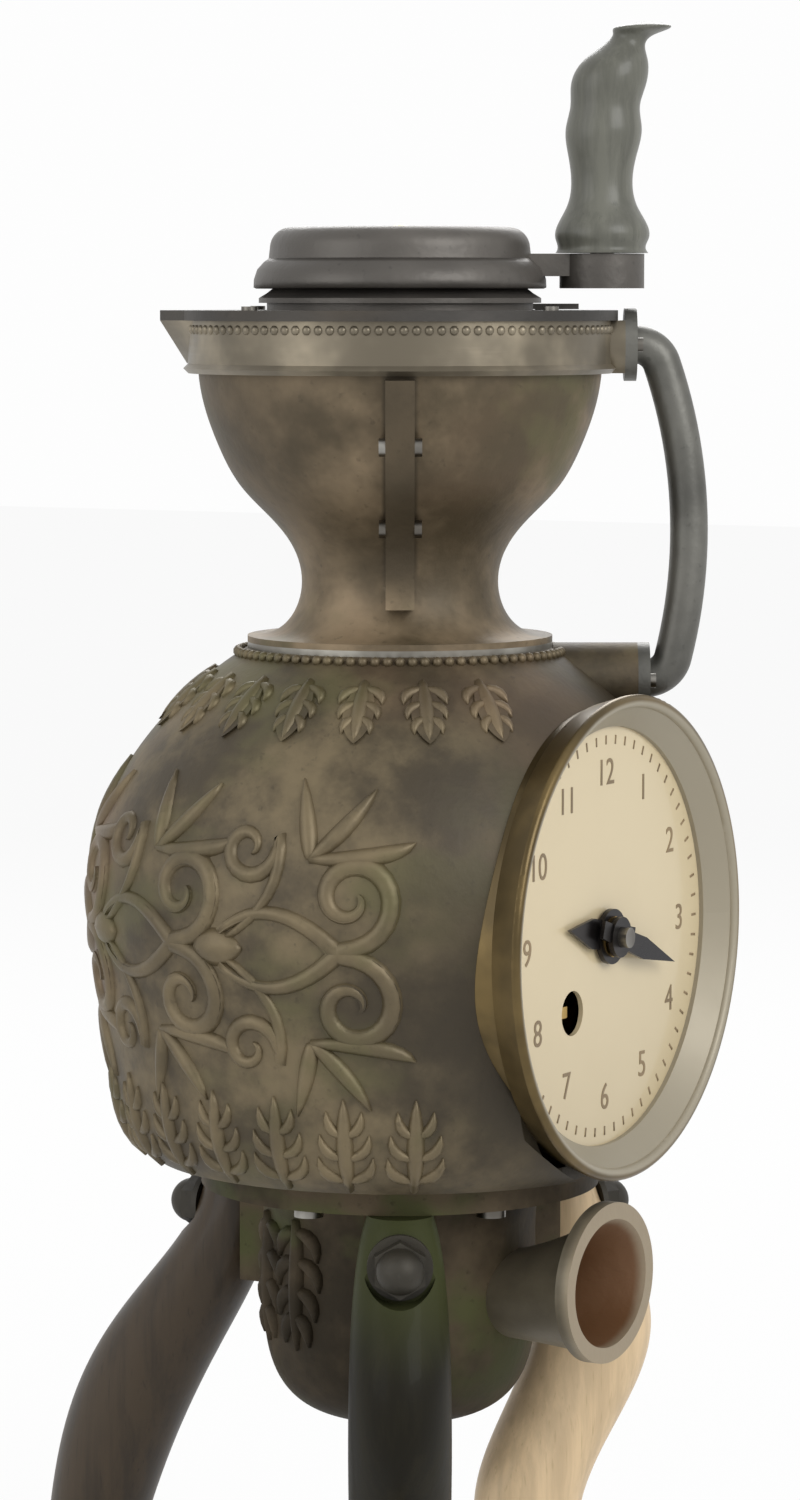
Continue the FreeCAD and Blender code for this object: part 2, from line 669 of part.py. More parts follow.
def globe_relief():
    """Scrolls round the belly, clear of the dial, and a row of leaves on the shoulder."""
    curve = globe_curve()
    grown = spin_curve([(r + RELIEF_H, z) for r, z in curve], GLOBE_BOTTOM_Z, GLOBE_TOP_Z)
    skin = grown.cut(spin_curve(inset(curve, GLOBE_WALL / 2), GLOBE_BOTTOM_Z, GLOBE_TOP_Z))
    motif = [raised(outline, skin, SCROLL_Z) for outline in scroll_outlines()]
    leaf = raised(leaf_outline(), skin, GLOBE_TOP_Z - LEAF_DROP)
    relief = []
    for k in range(SCROLLS):
        relief += [turned(line, 180 + SCROLL_STEP * (k - (SCROLLS - 1) / 2)) for line in motif]
    pitch = (LEAF_LAST - LEAF_FIRST) / (LEAVES - 1)
    return relief + [turned(leaf, LEAF_FIRST + pitch * k) for k in range(LEAVES)]


def globe_body():
    """Hollow globe with cast relief, a foot ring, a round seat for the dial and a boss for the handle."""
    curve = globe_curve()
    boss = radial_cyl(PALM_R, GLOBE_TOP_R, globe_foot_r(), HANDLE_FOOT_Z, TURN)
    outside = spin_curve(curve, GLOBE_BOTTOM_Z, GLOBE_TOP_Z).fuse(boss)
    hollow = spin_curve(inset(curve, GLOBE_WALL), GLOBE_BOTTOM_Z, GLOBE_TOP_Z)
    foot = ring(curve[0][0], BOWL_FLANGE_R - 2 * BOWL_SCREW_EDGE, GLOBE_BOTTOM_Z, GLOBE_BOTTOM_Z + 4.0)
    body = outside.cut(hollow).fuse(foot)
    body = body.cut(dial(cyl(CASE_R + SEAT, CASE_BACK_X - 1, CASE_FRONT_X)))
    body = body.cut(dial(cyl(BEZEL_R + 1.0, CASE_FRONT_X, GLOBE_BELLY_R + 10)))
    for k in range(6):
        spot = polar(BOWL_SCREW_CIRCLE_R, 30 + 60 * k)
        body = body.cut(cyl(BOWL_SCREW_R + SEAT, GLOBE_BOTTOM_Z, GLOBE_BOTTOM_Z + 3.0, spot.x, spot.y))
    body = palm_holes(body, globe_foot_r(), HANDLE_FOOT_Z, 6.0).removeSplitter()
    return body.multiFuse(globe_relief())


def bowl_plate():
    """Plate that closes the globe below, with a hole for the duct and one for the lower bush."""
    plate = cyl(BOWL_FLANGE_R, PLATE_Z, PLATE_Z + PLATE_T)
    plate = plate.cut(cyl(BUSH_R + SEAT, PLATE_Z, PLATE_Z + PLATE_T))
    plate = plate.cut(cyl(DUCT_R - DUCT_WALL, PLATE_Z, PLATE_Z + PLATE_T, DUCT_X))
    for k in range(6):
        spot = polar(BOWL_SCREW_CIRCLE_R, 30 + 60 * k)
        plate = plate.cut(cyl(BOWL_SCREW_R + SEAT, PLATE_Z, PLATE_Z + PLATE_T, spot.x, spot.y))
    return plate


def bush(z0, seat_z, z1):
    """Flanged bush: the flange rests on seat_z."""
    body = cyl(BUSH_R, z0, z1).fuse(cyl(BUSH_R + 2.5, seat_z, seat_z + 1.5))
    return body.cut(cyl(SPINDLE_R + RUN, z0, max(z1, seat_z + 1.5))).removeSplitter()


def grounds_tray():
    """Pan under the burrs, hung between the globe and the hopper, open to the duct."""
    top = HOPPER_Z
    profile = [(0, TRAY_FLOOR_Z), (TRAY_R, TRAY_FLOOR_Z), (TRAY_R, top - TRAY_FLANGE_T),
               (HOPPER_FLANGE_R, top - TRAY_FLANGE_T), (HOPPER_FLANGE_R, top), (TRAY_R - TRAY_T, top),
               (TRAY_R - TRAY_T, TRAY_FLOOR_Z + TRAY_T), (0, TRAY_FLOOR_Z + TRAY_T)]
    tray = spin_polygon(profile)
    tray = tray.cut(cyl(DUCT_R - DUCT_WALL, TRAY_FLOOR_Z, TRAY_FLOOR_Z + TRAY_T, DUCT_X))
    return tray.cut(cyl(BUSH_R + SEAT, TRAY_FLOOR_Z, TRAY_FLOOR_Z + TRAY_T))


def grounds_duct():
    tube = cyl(DUCT_R, PLATE_Z + PLATE_T, TRAY_FLOOR_Z, DUCT_X)
    return tube.cut(cyl(DUCT_R - DUCT_WALL, PLATE_Z + PLATE_T, TRAY_FLOOR_Z, DUCT_X))


def star(teeth, tip, root, z):
    points = []
    for i in range(teeth):
        points.append(polar(tip, 360.0 * i / teeth) + V(0, 0, z))
        points.append(polar(tip, 360.0 * (i + 0.25) / teeth) + V(0, 0, z))
        points.append(polar(root, 360.0 * (i + 0.5) / teeth) + V(0, 0, z))
    return Part.makePolygon(points + points[:1])


def cone_burr():
    """Toothed cone keyed on the spindle."""
    low = star(CONE_TEETH, CONE_BOTTOM_R, CONE_BOTTOM_R - TOOTH_DEPTH, BURR_BOTTOM_Z)
    high = star(CONE_TEETH, CONE_TOP_R, CONE_TOP_R - TOOTH_DEPTH * CONE_TOP_R / CONE_BOTTOM_R, BURR_TOP_Z)
    cone = Part.makeLoft([low, high], True, True)
    return cone.cut(cyl(SPINDLE_R + SEAT, BURR_BOTTOM_Z, BURR_TOP_Z))


def ring_burr():
    """Toothed ring held in the hopper's neck, round the cone."""
    slope = (CONE_BOTTOM_R - CONE_TOP_R) / BURR_H
    z0, z1 = HOPPER_Z, NECK_Z + 8.0
    radii = [CONE_BOTTOM_R + BURR_GAP - slope * (z - BURR_BOTTOM_Z) for z in (z0, z1)]
    teeth = CONE_TEETH + 4
    wires = [star(teeth, r + TOOTH_DEPTH, r, z) for r, z in zip(radii, (z0, z1))]
    return cyl(RING_R, z0, z1).cut(Part.makeLoft(wires, True, True))


def sweeper():
    """Two arms under the cone that push the grounds round to the duct."""
    low = TRAY_FLOOR_Z + TRAY_T + 1.5 + LIFT
    arms = box(-TRAY_R + 4.0, TRAY_R - 4.0, -2.0, 2.0, low + 1.0, low + 6.0)
    body = arms.fuse(cyl(SPINDLE_R + 4.0, low + 1.0, BURR_BOTTOM_Z))
    return body.cut(cyl(SPINDLE_R + SEAT, low, BURR_BOTTOM_Z)).removeSplitter()


def spindle():
    """Upright shaft: square and thread for the crank above, a sliding key at the mitre pinion."""
    shaft = cyl(SPINDLE_R, PIN_TOP_Z, CRANK_Z)
    half = CRANK_SQUARE / 2
    shaft = shaft.fuse(turned(box(-half, half, -half, half, CRANK_Z, NUT_SEAT_Z), TURN))
    shaft = shaft.fuse(cyl(half, NUT_SEAT_Z, NUT_SEAT_Z + 6.0))
    low, high = pinion_span()
    key = box(0, SPINDLE_R + KEY_H, -KEY_W / 2, KEY_W / 2, low - 3.0 - LIFT, high - 1.0 - LIFT)
    return shaft.fuse(turned(key, 180)).removeSplitter()


def pinion_span():
    """Lowest and highest level of the mitre pinion on the spindle."""
    drop = DEDENDUM * BEVEL_MODULE * math.cos(math.radians(45))
    reach = BEVEL_R - drop - BUSH_R
    return DIAL_Z - (BEVEL_R + drop + 4.0 + reach), DIAL_Z - BEVEL_R + BEVEL_FACE


def mitre_pinion():
    """Mitre wheel on the spindle below the dial's axis, with a keyway."""
    wheel = bevel_wheel(180.0, SPINDLE_R + RUN, BUSH_R, 4.0)
    wheel.rotate(V(0, 0, 0), V(0, 1, 0), 180)
    wheel.translate(V(0, 0, DIAL_Z))
    low, high = pinion_span()
    slot = box(0, SPINDLE_R + KEY_H + RUN, -KEY_W / 2 - RUN, KEY_W / 2 + RUN, low - 1, high + 1)
    return wheel.cut(turned(slot, 180)).removeSplitter()


def pinion_bracket():
    """Angle bracket on the back of the dial case that carries the mitre pinion by its hub."""
    low, high = pinion_span()
    shelf_top = low + 4.0 - FACE_GAP
    shelf = box(-BUSH_R - 4.0, CASE_BACK_X, -12.0, 12.0, shelf_top - 3.0, shelf_top)
    flange = box(CASE_BACK_X - 3.0, CASE_BACK_X, -12.0, 12.0, shelf_top - 16.0, shelf_top)
    body = shelf.fuse(flange).cut(cyl(BUSH_R + RUN, low - 1, shelf_top))
    for side in (-1, 1):
        hole = Part.makeCylinder(1.5 + SEAT, 3.0, V(CASE_BACK_X - 3.0, side * 7.0, shelf_top - 10.0), V(1, 0, 0))
        body = body.cut(hole)
    return body.removeSplitter()


def bracket_screws():
    low, high = pinion_span()
    z = low + 4.0 - FACE_GAP - 10.0
    screws = []
    for side in (-1, 1):
        shank = Part.makeCylinder(1.5, 5.0, V(CASE_BACK_X - 3.0, side * 7.0, z), V(1, 0, 0))
        head = Part.makeCylinder(2.6, 1.6, V(CASE_BACK_X - 4.6, side * 7.0, z), V(1, 0, 0))
        screws.append(shank.fuse(head))
    return Part.makeCompound(screws)


def pillar_spots():
    return [polar(PILLAR_CIRCLE_R, SIDE_ANGLE + 60 + 120 * k) for k in range(3)]


def side_spot():
    return polar(CENTRE_DISTANCE, SIDE_ANGLE)


def dial_case():
    """Round can let into the globe: a back with the bearings and a ledge in front for the dial."""
    front, back = CASE_FRONT_X, CASE_BACK_X
    inner = CASE_R - CASE_WALL
    ledge = BEZEL_INNER_R - 0.5
    profile = [(0, back), (CASE_R, back), (CASE_R, front), (DIAL_R + SEAT, front), (DIAL_R + SEAT, DIAL_X),
               (ledge, DIAL_X), (ledge, DIAL_X - 2.0), (inner, DIAL_X - 4.0), (inner, back + CASE_BACK_T),
               (0, back + CASE_BACK_T)]
    case = spin_polygon(profile)
    case = case.cut(cyl(ARBOR_R + 2.0 + SEAT, back, back + CASE_BACK_T))
    side = side_spot()
    case = case.cut(cyl(MINUTE_ARBOR_R + RUN, back, back + CASE_BACK_T, side.x, side.y))
    for spot in pillar_spots():
        case = case.cut(cyl(1.5 + SEAT, back, back + CASE_BACK_T, spot.x, spot.y))
    case = dial(case)
    low, high = pinion_span()
    z = low + 4.0 - FACE_GAP - 10.0
    for y in (-7.0, 7.0):
        case = case.cut(Part.makeCylinder(1.5 + SEAT, 2.0, V(back, y, z), V(1, 0, 0)))
    return case


def arbor_bush():
    back = CASE_BACK_X
    body = cyl(ARBOR_R + 2.0, back - 2.0, back + CASE_BACK_T + 1.5)
    body = body.fuse(cyl(ARBOR_R + 3.5, back - 2.0, back))
    return dial(body.cut(cyl(ARBOR_R + RUN, back - 2.0, back + CASE_BACK_T + 1.5)).removeSplitter())


def train_pillars():
    """Three pillars, screwed to the back of the case, that carry the front plate of the train."""
    back = CASE_BACK_X + CASE_BACK_T
    pillars = []
    for spot in pillar_spots():
        post = cyl(PILLAR_R, back, TRAIN_PLATE_X, spot.x, spot.y)
        stud = cyl(1.5, CASE_BACK_X, back, spot.x, spot.y)
        pillars.append(post.fuse(stud).cut(cyl(1.2 + SEAT, TRAIN_PLATE_X - 5.0, TRAIN_PLATE_X, spot.x, spot.y)))
    return dial(Part.makeCompound(pillars))


def train_plate():
    plate = cyl(TRAIN_PLATE_R, TRAIN_PLATE_X, TRAIN_PLATE_X + TRAIN_PLATE_T)
    plate = plate.cut(cyl(PIPE_R + RUN, TRAIN_PLATE_X, TRAIN_PLATE_X + TRAIN_PLATE_T))
    side = side_spot()
    plate = plate.cut(cyl(MINUTE_ARBOR_R + RUN, TRAIN_PLATE_X, TRAIN_PLATE_X + TRAIN_PLATE_T, side.x, side.y))
    for spot in pillar_spots():
        plate = plate.cut(cyl(1.2 + SEAT, TRAIN_PLATE_X, TRAIN_PLATE_X + TRAIN_PLATE_T, spot.x, spot.y))
    return dial(plate)


def train_screws():
    front = TRAIN_PLATE_X + TRAIN_PLATE_T
    screws = []
    for spot in pillar_spots():
        shank = cyl(1.2, TRAIN_PLATE_X - 4.5, front, spot.x, spot.y)
        screws.append(shank.fuse(cyl(2.4, front, front + 1.5, spot.x, spot.y)))
    return dial(Part.makeCompound(screws))


def train_levels():
    """Distances of the two pairs of wheels from the spindle: first pair, second pair."""
    first = CASE_BACK_X + CASE_BACK_T + 5.0
    return first, first + WHEEL_T + 6.0


def mitre_wheel():
    return dial(bevel_wheel(90.0 + 180.0 / BEVEL_TEETH, ARBOR_R + SEAT, ARBOR_R + 3.0, 2.0))


def dial_arbor():
    """Shaft from the mitre wheel to the long hand."""
    start = (BEVEL_R - BEVEL_FACE) + 1.0
    shaft = cyl(ARBOR_R, start, TRAIN_PLATE_X + TRAIN_PLATE_T)
    nose = cyl(ARBOR_R - 0.5, TRAIN_PLATE_X + TRAIN_PLATE_T, CASE_FRONT_X + 7.0)
    return dial(shaft.fuse(nose).removeSplitter())


def cannon_pinion():
    first, second = train_levels()
    wheel = gear(CANNON_TEETH, MINUTE_MODULE, WHEEL_T + 2.0, ARBOR_R + SEAT, SIDE_ANGLE)
    wheel.translate(V(0, 0, first - 1.0))
    return dial(wheel)


def side_wheel():
    """Wheel and pinion on one arbor; its square end stands behind the hole in the dial."""
    first, second = train_levels()
    side = side_spot()
    back = SIDE_ANGLE + 180.0
    wheel = gear(MINUTE_TEETH, MINUTE_MODULE, WHEEL_T, MINUTE_ARBOR_R, back + 180.0 / MINUTE_TEETH)
    wheel.translate(V(0, 0, first))
    pinion = gear(PINION_TEETH, HOUR_MODULE, WHEEL_T + 2.0, MINUTE_ARBOR_R, back)
    pinion.translate(V(0, 0, second - 1.0))
    arbor = cyl(MINUTE_ARBOR_R, CASE_BACK_X, TRAIN_PLATE_X + TRAIN_PLATE_T + 1.0)
    half = MINUTE_ARBOR_R * 0.7
    square = box(-half, half, -half, half, TRAIN_PLATE_X + TRAIN_PLATE_T + 1.0, DIAL_X - 1.0)
    body = wheel.fuse(pinion).fuse(arbor).fuse(square)
    body.translate(side)
    return dial(body.removeSplitter())


def hour_wheel():
    """Wheel with a pipe that runs round the arbor and carries the short hand."""
    first, second = train_levels()
    wheel = gear(HOUR_TEETH, HOUR_MODULE, WHEEL_T, PIPE_R, SIDE_ANGLE + 180.0 / HOUR_TEETH)
    wheel.translate(V(0, 0, second))
    pipe = ring(PIPE_R, ARBOR_R + RUN, second - 1.0, CASE_FRONT_X + 2.6)
    return dial(wheel.fuse(pipe).removeSplitter())


def dial_plate():
    """Flat dial with a middle hole for the hands and a key hole in front of the side arbor."""
    side = side_spot()
    plate = cyl(DIAL_R, DIAL_X, CASE_FRONT_X).cut(cyl(PIPE_R + 0.4, DIAL_X, CASE_FRONT_X))
    return dial(plate.cut(cyl(KEYHOLE_R, DIAL_X, CASE_FRONT_X, side.x, side.y)))


def bezel():
    """Flared ring that holds the dial: its inner side slopes down to the dial."""
    foot, top = CASE_FRONT_X, CASE_FRONT_X + BEZEL_T
    crest = BEZEL_R - 1.6
    edges = [Part.makeLine(V(BEZEL_INNER_R, 0, foot), V(BEZEL_R - 2.0, 0, foot)),
             Part.makeLine(V(BEZEL_R - 2.0, 0, foot), V(BEZEL_R, 0, top - 1.6)),
             Part.Arc(V(BEZEL_R, 0, top - 1.6), V(crest, 0, top), V(BEZEL_R - 3.2, 0, top - 1.6)).toShape(),
             Part.makeLine(V(BEZEL_R - 3.2, 0, top - 1.6), V(BEZEL_INNER_R, 0, foot + 1.2)),
             Part.makeLine(V(BEZEL_INNER_R, 0, foot + 1.2), V(BEZEL_INNER_R, 0, foot))]
    return dial(spin(edges))


def hand(length, bore, boss_r, x, angle):
    """A tapered hand with a boss and a short tail."""
    wide = boss_r * 0.55
    points = [V(-boss_r * 1.8, wide * 0.8, 0), V(-boss_r * 1.8, -wide * 0.8, 0), V(length * 0.45, -wide, 0),
              V(length, 0, 0), V(length * 0.45, wide, 0)]
    blade = Part.Face(Part.makePolygon(points + points[:1])).extrude(V(0, 0, HAND_T))
    body = blade.fuse(cyl(boss_r, 0, HAND_T * 1.5)).cut(cyl(bore, 0, HAND_T * 1.5))
    body.rotate(V(0, 0, 0), UP, angle)
    body.translate(V(0, 0, x))
    return dial(body.removeSplitter())


def short_hand():
    return hand(SHORT_HAND_L, PIPE_R + SEAT, PIPE_R + 1.8, CASE_FRONT_X + 1.0, SHORT_HAND_ANGLE)


def long_hand():
    return hand(LONG_HAND_L, ARBOR_R - 0.5 + SEAT, ARBOR_R + 2.0, CASE_FRONT_X + 3.4, LONG_HAND_ANGLE)


def hopper_curve():
    """Outside of the hopper: a flange, a straight neck and a funnel that swells up to the rim."""
    tall = RIM_Z - BAND_H - NECK_Z
    return [(HOPPER_FLANGE_R, HOPPER_Z + 1.5), (NECK_R + 3.0, NECK_Z - 8.0), (NECK_R, NECK_Z),
            (NECK_R + 1.7, NECK_Z + tall * 0.17), (NECK_R + 6.5, NECK_Z + tall * 0.3),
            (RIM_R - 10.5, NECK_Z + tall * 0.47), (RIM_R - 4.5, NECK_Z + tall * 0.68),
            (RIM_R - 1.0, NECK_Z + tall * 0.88), (RIM_R, RIM_Z - BAND_H)]


def hopper_inside():
    neck = RING_R + SEAT
    wide = [(r - HOPPER_WALL, z) for r, z in hopper_curve()[4:]]
    points = [(neck, NECK_Z + 8.0)] + wide
    funnel = spin_curve(points, NECK_Z + 8.0, RIM_Z)
    return funnel.fuse(cyl(neck, HOPPER_Z, NECK_Z + 8.0))


def seam_spots():
    """Distance from the spindle and height of the seam screws."""
    curve = hopper_curve()
    return [(curve[i][0] + RIB_H / 2 + 0.6, curve[i][1]) for i in (4, 6)]


def hopper_half(angle):
    """Half of the hopper, split upright, with a rib along each seam."""
    curve = hopper_curve()
    outside = spin_curve(curve, HOPPER_Z, RIM_Z)
    grown = spin_curve([(r + RIB_H, z) for r, z in curve], HOPPER_Z, RIM_Z)
    far = 2 * RIM_R
    ribs = grown.common(box(-RIB_T, RIB_T, -far, far, NECK_Z - 4.0, RIM_Z - BAND_H - 1.0))
    body = outside.fuse(ribs).cut(hopper_inside())
    body = body.common(box(0, far, -far, far, HOPPER_Z, RIM_Z))
    for r, z in seam_spots():
        for side in (-1, 1):
            body = body.cut(Part.makeCylinder(1.3 + SEAT, RIB_T, V(0, side * r, z), V(1, 0, 0)))
    return turned(body.removeSplitter(), angle)


def seam_screws():
    """Screws across both seams, with a head on the lip side and a nut on the handle side."""
    screws = []
    for r, z in seam_spots():
        for side in (-1, 1):
            shank = Part.makeCylinder(1.3, 2 * RIB_T, V(-RIB_T, side * r, z), V(1, 0, 0))
            head = Part.makeCylinder(2.2, 1.6, V(-RIB_T - 1.6, side * r, z), V(1, 0, 0))
            nut = Part.makeCylinder(2.2, 1.8, V(RIB_T, side * r, z), V(1, 0, 0))
            screws.append(turned(shank.fuse(head).fuse(nut), TURN))
    return Part.makeCompound(screws)


def palm_seat_r():
    return RIM_R + SEAT + BAND_T + PALM_BOSS


def beak(z0, reach0, z1, reach1):
    """A pointed lip on the round of the rim, opposite the handle, that spreads as it rises."""
    wires = []
    for z, reach in ((z0, reach0), (z1, reach1)):
        side = math.degrees(math.acos(RIM_R / reach))
        points = [polar(reach, 0), polar(RIM_R, side), polar(RIM_R, -side)]
        wires.append(Part.makePolygon([p + V(0, 0, z) for p in points + points[:1]]))
    return turned(Part.makeLoft(wires, True, True), TURN + 180)


def rim_band():
    """Bright band round the rim, with a pointed lip and a boss for the top of the handle."""
    low = RIM_Z - BAND_H
    inner = RIM_R + SEAT
    outer = inner + BAND_T
    bead = 1.2
    profile = [(inner, low), (outer, low), (outer + bead, low + bead), (outer, low + 2 * bead), (outer, RIM_Z),
               (inner, RIM_Z)]
    boss = radial_cyl(PALM_R, RIM_R, palm_seat_r(), HANDLE_TOP_Z, TURN)
    boss = boss.common(cyl(2 * RIM_R, low, RIM_Z))
    lip = beak(low + 2 * bead, outer + 0.3, RIM_Z, LIP_R)
    band = spin_polygon(profile).fuse(boss).fuse(lip).cut(cyl(inner, low, RIM_Z))
    for spot in lid_screw_spots():
        band = band.cut(cyl(0.9 + SEAT, RIM_Z - 6.0, RIM_Z, spot.x, spot.y))
    return palm_holes(band, palm_seat_r(), HANDLE_TOP_Z, PALM_BOSS + BAND_T / 2).removeSplitter()


def lid_screw_spots():
    return [polar(RIM_R + SEAT + BAND_T / 2, TURN + 45 + 90 * k) for k in range(4)]


def sector(inner, outer, z0, z1, middle, span):
    """A piece of a flat ring that covers one angle."""
    reach = 2 * outer
    half = span / 2
    points = [V(0, 0, z0)]
    steps = 4
    for i in range(steps + 1):
        points.append(polar(reach, middle - half + span * i / steps) + V(0, 0, z0))
    wedge = Part.Face(Part.makePolygon(points + points[:1])).extrude(V(0, 0, z1 - z0))
    return ring(outer, inner, z0, z1).common(wedge)


def lid_plate():
    """Flat lid with a brim, a pointed lip, the fill opening and a middle hole."""
    top = LID_Z + LID_T
    plate = cyl(BRIM_R, LID_Z, top).fuse(beak(LID_Z, LIP_R, top, LIP_R))
    plate = plate.cut(cyl(DRUM_R - 6.0, LID_Z, top))
    plate = plate.cut(sector(FILL_INNER_R, FILL_OUTER_R, LID_Z, top, FILL_ANGLE, FILL_SPAN))
    for spot in lid_screw_spots():
        plate = plate.cut(cyl(0.9 + SEAT, LID_Z, top, spot.x, spot.y))
    return plate.removeSplitter()


def lid_screws():
    top = LID_Z + LID_T
    screws = []
    for spot in lid_screw_spots():
        shank = cyl(0.9, RIM_Z - 5.0, top, spot.x, spot.y)
        screws.append(shank.fuse(cyl(1.9, top, top + 1.0, spot.x, spot.y)))
    return Part.makeCompound(screws)


def lid_drum():
    """Low drum on the lid that holds the upper bush; its bead keeps the shutter down."""
    z, top = DRUM_Z, DRUM_TOP_Z
    lip = z + SHUTTER_T + 2 * FACE_GAP
    profile = [(DRUM_R - DRUM_WALL, z), (DRUM_R, z), (DRUM_R, lip), (DRUM_R + 2.0, lip), (DRUM_R + 2.0, lip + 1.2),
               (DRUM_R, lip + 2.4), (DRUM_R - 1.0, top - 1.5), (DRUM_R - 3.0, top), (BUSH_R + SEAT, top),
               (BUSH_R + SEAT, top - DRUM_WALL), (DRUM_R - DRUM_WALL, top - DRUM_WALL)]
    return spin_polygon(profile)


def fill_shutter():
    """Flat sector that turns round the drum over the fill opening, with a low button."""
    z = DRUM_Z + FACE_GAP
    plate = sector(DRUM_R + RUN, SHUTTER_R, z, z + SHUTTER_T, FILL_ANGLE, SHUTTER_SPAN)
    spot = polar(SHUTTER_R - 5.0, FILL_ANGLE)
    return plate.fuse(cyl(3.0, z + SHUTTER_T, z + SHUTTER_T + 2.2, spot.x, spot.y))


def crank_arm():
    """Hollow cap on the spindle's square, a flat arm out of its side and an eye for the grip."""
    half = CRANK_SQUARE / 2 + SEAT
    shoulder = CRANK_Z + CAP_H * 0.6
    edges = [Part.makeLine(V(0, 0, CRANK_Z), V(CAP_R, 0, CRANK_Z)),
             Part.makeLine(V(CAP_R, 0, CRANK_Z), V(CAP_R - 0.8, 0, shoulder)),
             Part.Arc(V(CAP_R - 0.8, 0, shoulder), V(CAP_R - 2.4, 0, CRANK_TOP_Z - 1.4),
                      V(CAP_R - 6.0, 0, CRANK_TOP_Z)).toShape(),
             Part.makeLine(V(CAP_R - 6.0, 0, CRANK_TOP_Z), V(0, 0, CRANK_TOP_Z)),
             Part.makeLine(V(0, 0, CRANK_TOP_Z), V(0, 0, CRANK_Z))]
    hollow = ring(CAP_R - CAP_WALL, CAP_HUB_R, CRANK_Z, CRANK_TOP_Z - 1.5 * CAP_WALL)
    arm = box(0, THROW, -ARM_W / 2, ARM_W / 2, CRANK_Z, ARM_TOP_Z)
    eye = cyl(EYE_R, CRANK_Z - EYE_DROP, ARM_TOP_Z, THROW)
    body = spin(edges).cut(hollow).fuse(arm).fuse(eye)
    body = body.cut(cyl(NUT_WELL_R, NUT_SEAT_Z, CRANK_TOP_Z))
    body = body.cut(box(-half, half, -half, half, CRANK_Z, NUT_SEAT_Z))
    body = body.cut(cyl(GRIP_PIN_R + SEAT, CRANK_Z - EYE_DROP, ARM_TOP_Z, THROW))
    return turned(body.removeSplitter(), TURN)


def crank_nut():
    nut = acorn(CRANK_NUT_R, NUT_WELL + 1.0, NUT_SEAT_Z)
    return nut.cut(cyl(CRANK_SQUARE / 2 + SEAT, NUT_SEAT_Z, NUT_SEAT_Z + 6.2))


def grip_pin():
    return turned(cyl(GRIP_PIN_R, CRANK_Z - EYE_DROP, GRIP_Z + GRIP_L * 0.62, THROW), TURN)


def grip():
    """Upright grip: a flared foot, a slender waist and a tip that curls outwards."""
    stations = [(0, GRIP_FOOT_R, 0), (0.06, GRIP_FOOT_R, 0), (0.2, GRIP_WAIST_R + 0.4, 0), (0.42, GRIP_WAIST_R, 0),
                (0.54, GRIP_WAIST_R + 1.0, 0.03), (0.64, GRIP_WAIST_R + 0.2, 0.06), (0.72, GRIP_WAIST_R + 0.8, 0.12), (0.84, GRIP_WAIST_R - 0.6, 0.3), (0.95, GRIP_WAIST_R * 0.62, 0.7),
                (1.0, GRIP_WAIST_R * 0.3, 1.0)]
    wires = []
    for level, radius, curl in stations:
        centre = V(THROW + GRIP_CURL * curl, 0, GRIP_Z + GRIP_L * level)
        wires.append(Part.Wire(Part.Circle(centre, UP, radius).toShape()))
    body = Part.makeLoft(wires, True, False)
    body = body.cut(cyl(GRIP_PIN_R + RUN, GRIP_Z, GRIP_Z + GRIP_L * 0.62 + FACE_GAP, THROW))
    return turned(body, TURN)


def handle_bow():
    """The handle's bar: a tight bend at each palm and one long arc between the two."""
    start = V(palm_seat_r() + PALM_T - 0.5, 0, HANDLE_TOP_Z)
    end = V(globe_foot_r() + PALM_T - 0.5, 0, HANDLE_FOOT_Z)
    half = (end - start).Length / 2
    down = (end - start).normalize()
    out = down.cross(V(0, 1, 0))
    lean = 2 * math.atan((HANDLE_REACH - HANDLE_BEND) / (half - HANDLE_BEND))

    def on_bend(turn, far):
        along = HANDLE_BEND * (1 - math.cos(turn))
        return start + out * (HANDLE_BEND * math.sin(turn)) + down * (2 * half - along if far else along)

    full = math.pi / 2 - lean
    top = Part.Arc(start, on_bend(full / 2, False), on_bend(full, False))
    long = Part.Arc(on_bend(full, False), start + out * HANDLE_REACH + down * half, on_bend(full, True))
    foot = Part.Arc(on_bend(full, True), on_bend(full / 2, True), end)
    path = Part.Wire([arc.toShape() for arc in (top, long, foot)])
    section = Part.Wire(Part.Circle(start, out, HANDLE_BAR_R).toShape())
    return path.makePipeShell([section], True, False)


def c_handle():
    """Bowed bar between two round palms."""
    bow = handle_bow()
    for r, z in ((palm_seat_r(), HANDLE_TOP_Z), (globe_foot_r(), HANDLE_FOOT_Z)):
        palm = Part.makeCylinder(PALM_R, PALM_T, V(r, 0, z), V(1, 0, 0))
        bow = bow.fuse(palm)
        for side in (-1, 1):
            hole = V(r, side * PALM_SCREW_SIDE, z)
            bow = bow.cut(Part.makeCylinder(PALM_SCREW_R + SEAT, PALM_T, hole, V(1, 0, 0)))
    return turned(bow.removeSplitter(), TURN)


def handle_screws():
    screws = []
    depths = (PALM_BOSS + BAND_T / 2 - 0.3, 5.0)
    seats = ((palm_seat_r(), HANDLE_TOP_Z), (globe_foot_r(), HANDLE_FOOT_Z))
    for (r, z), depth in zip(seats, depths):
        for side in (-1, 1):
            offset = side * PALM_SCREW_SIDE
            shank = radial_cyl(PALM_SCREW_R, r - depth, r + PALM_T, z, TURN, offset)
            screws.append(shank.fuse(radial_cyl(PALM_HEAD_R, r + PALM_T, r + PALM_T + 1.4, z, TURN, offset)))
    return Part.makeCompound(screws)


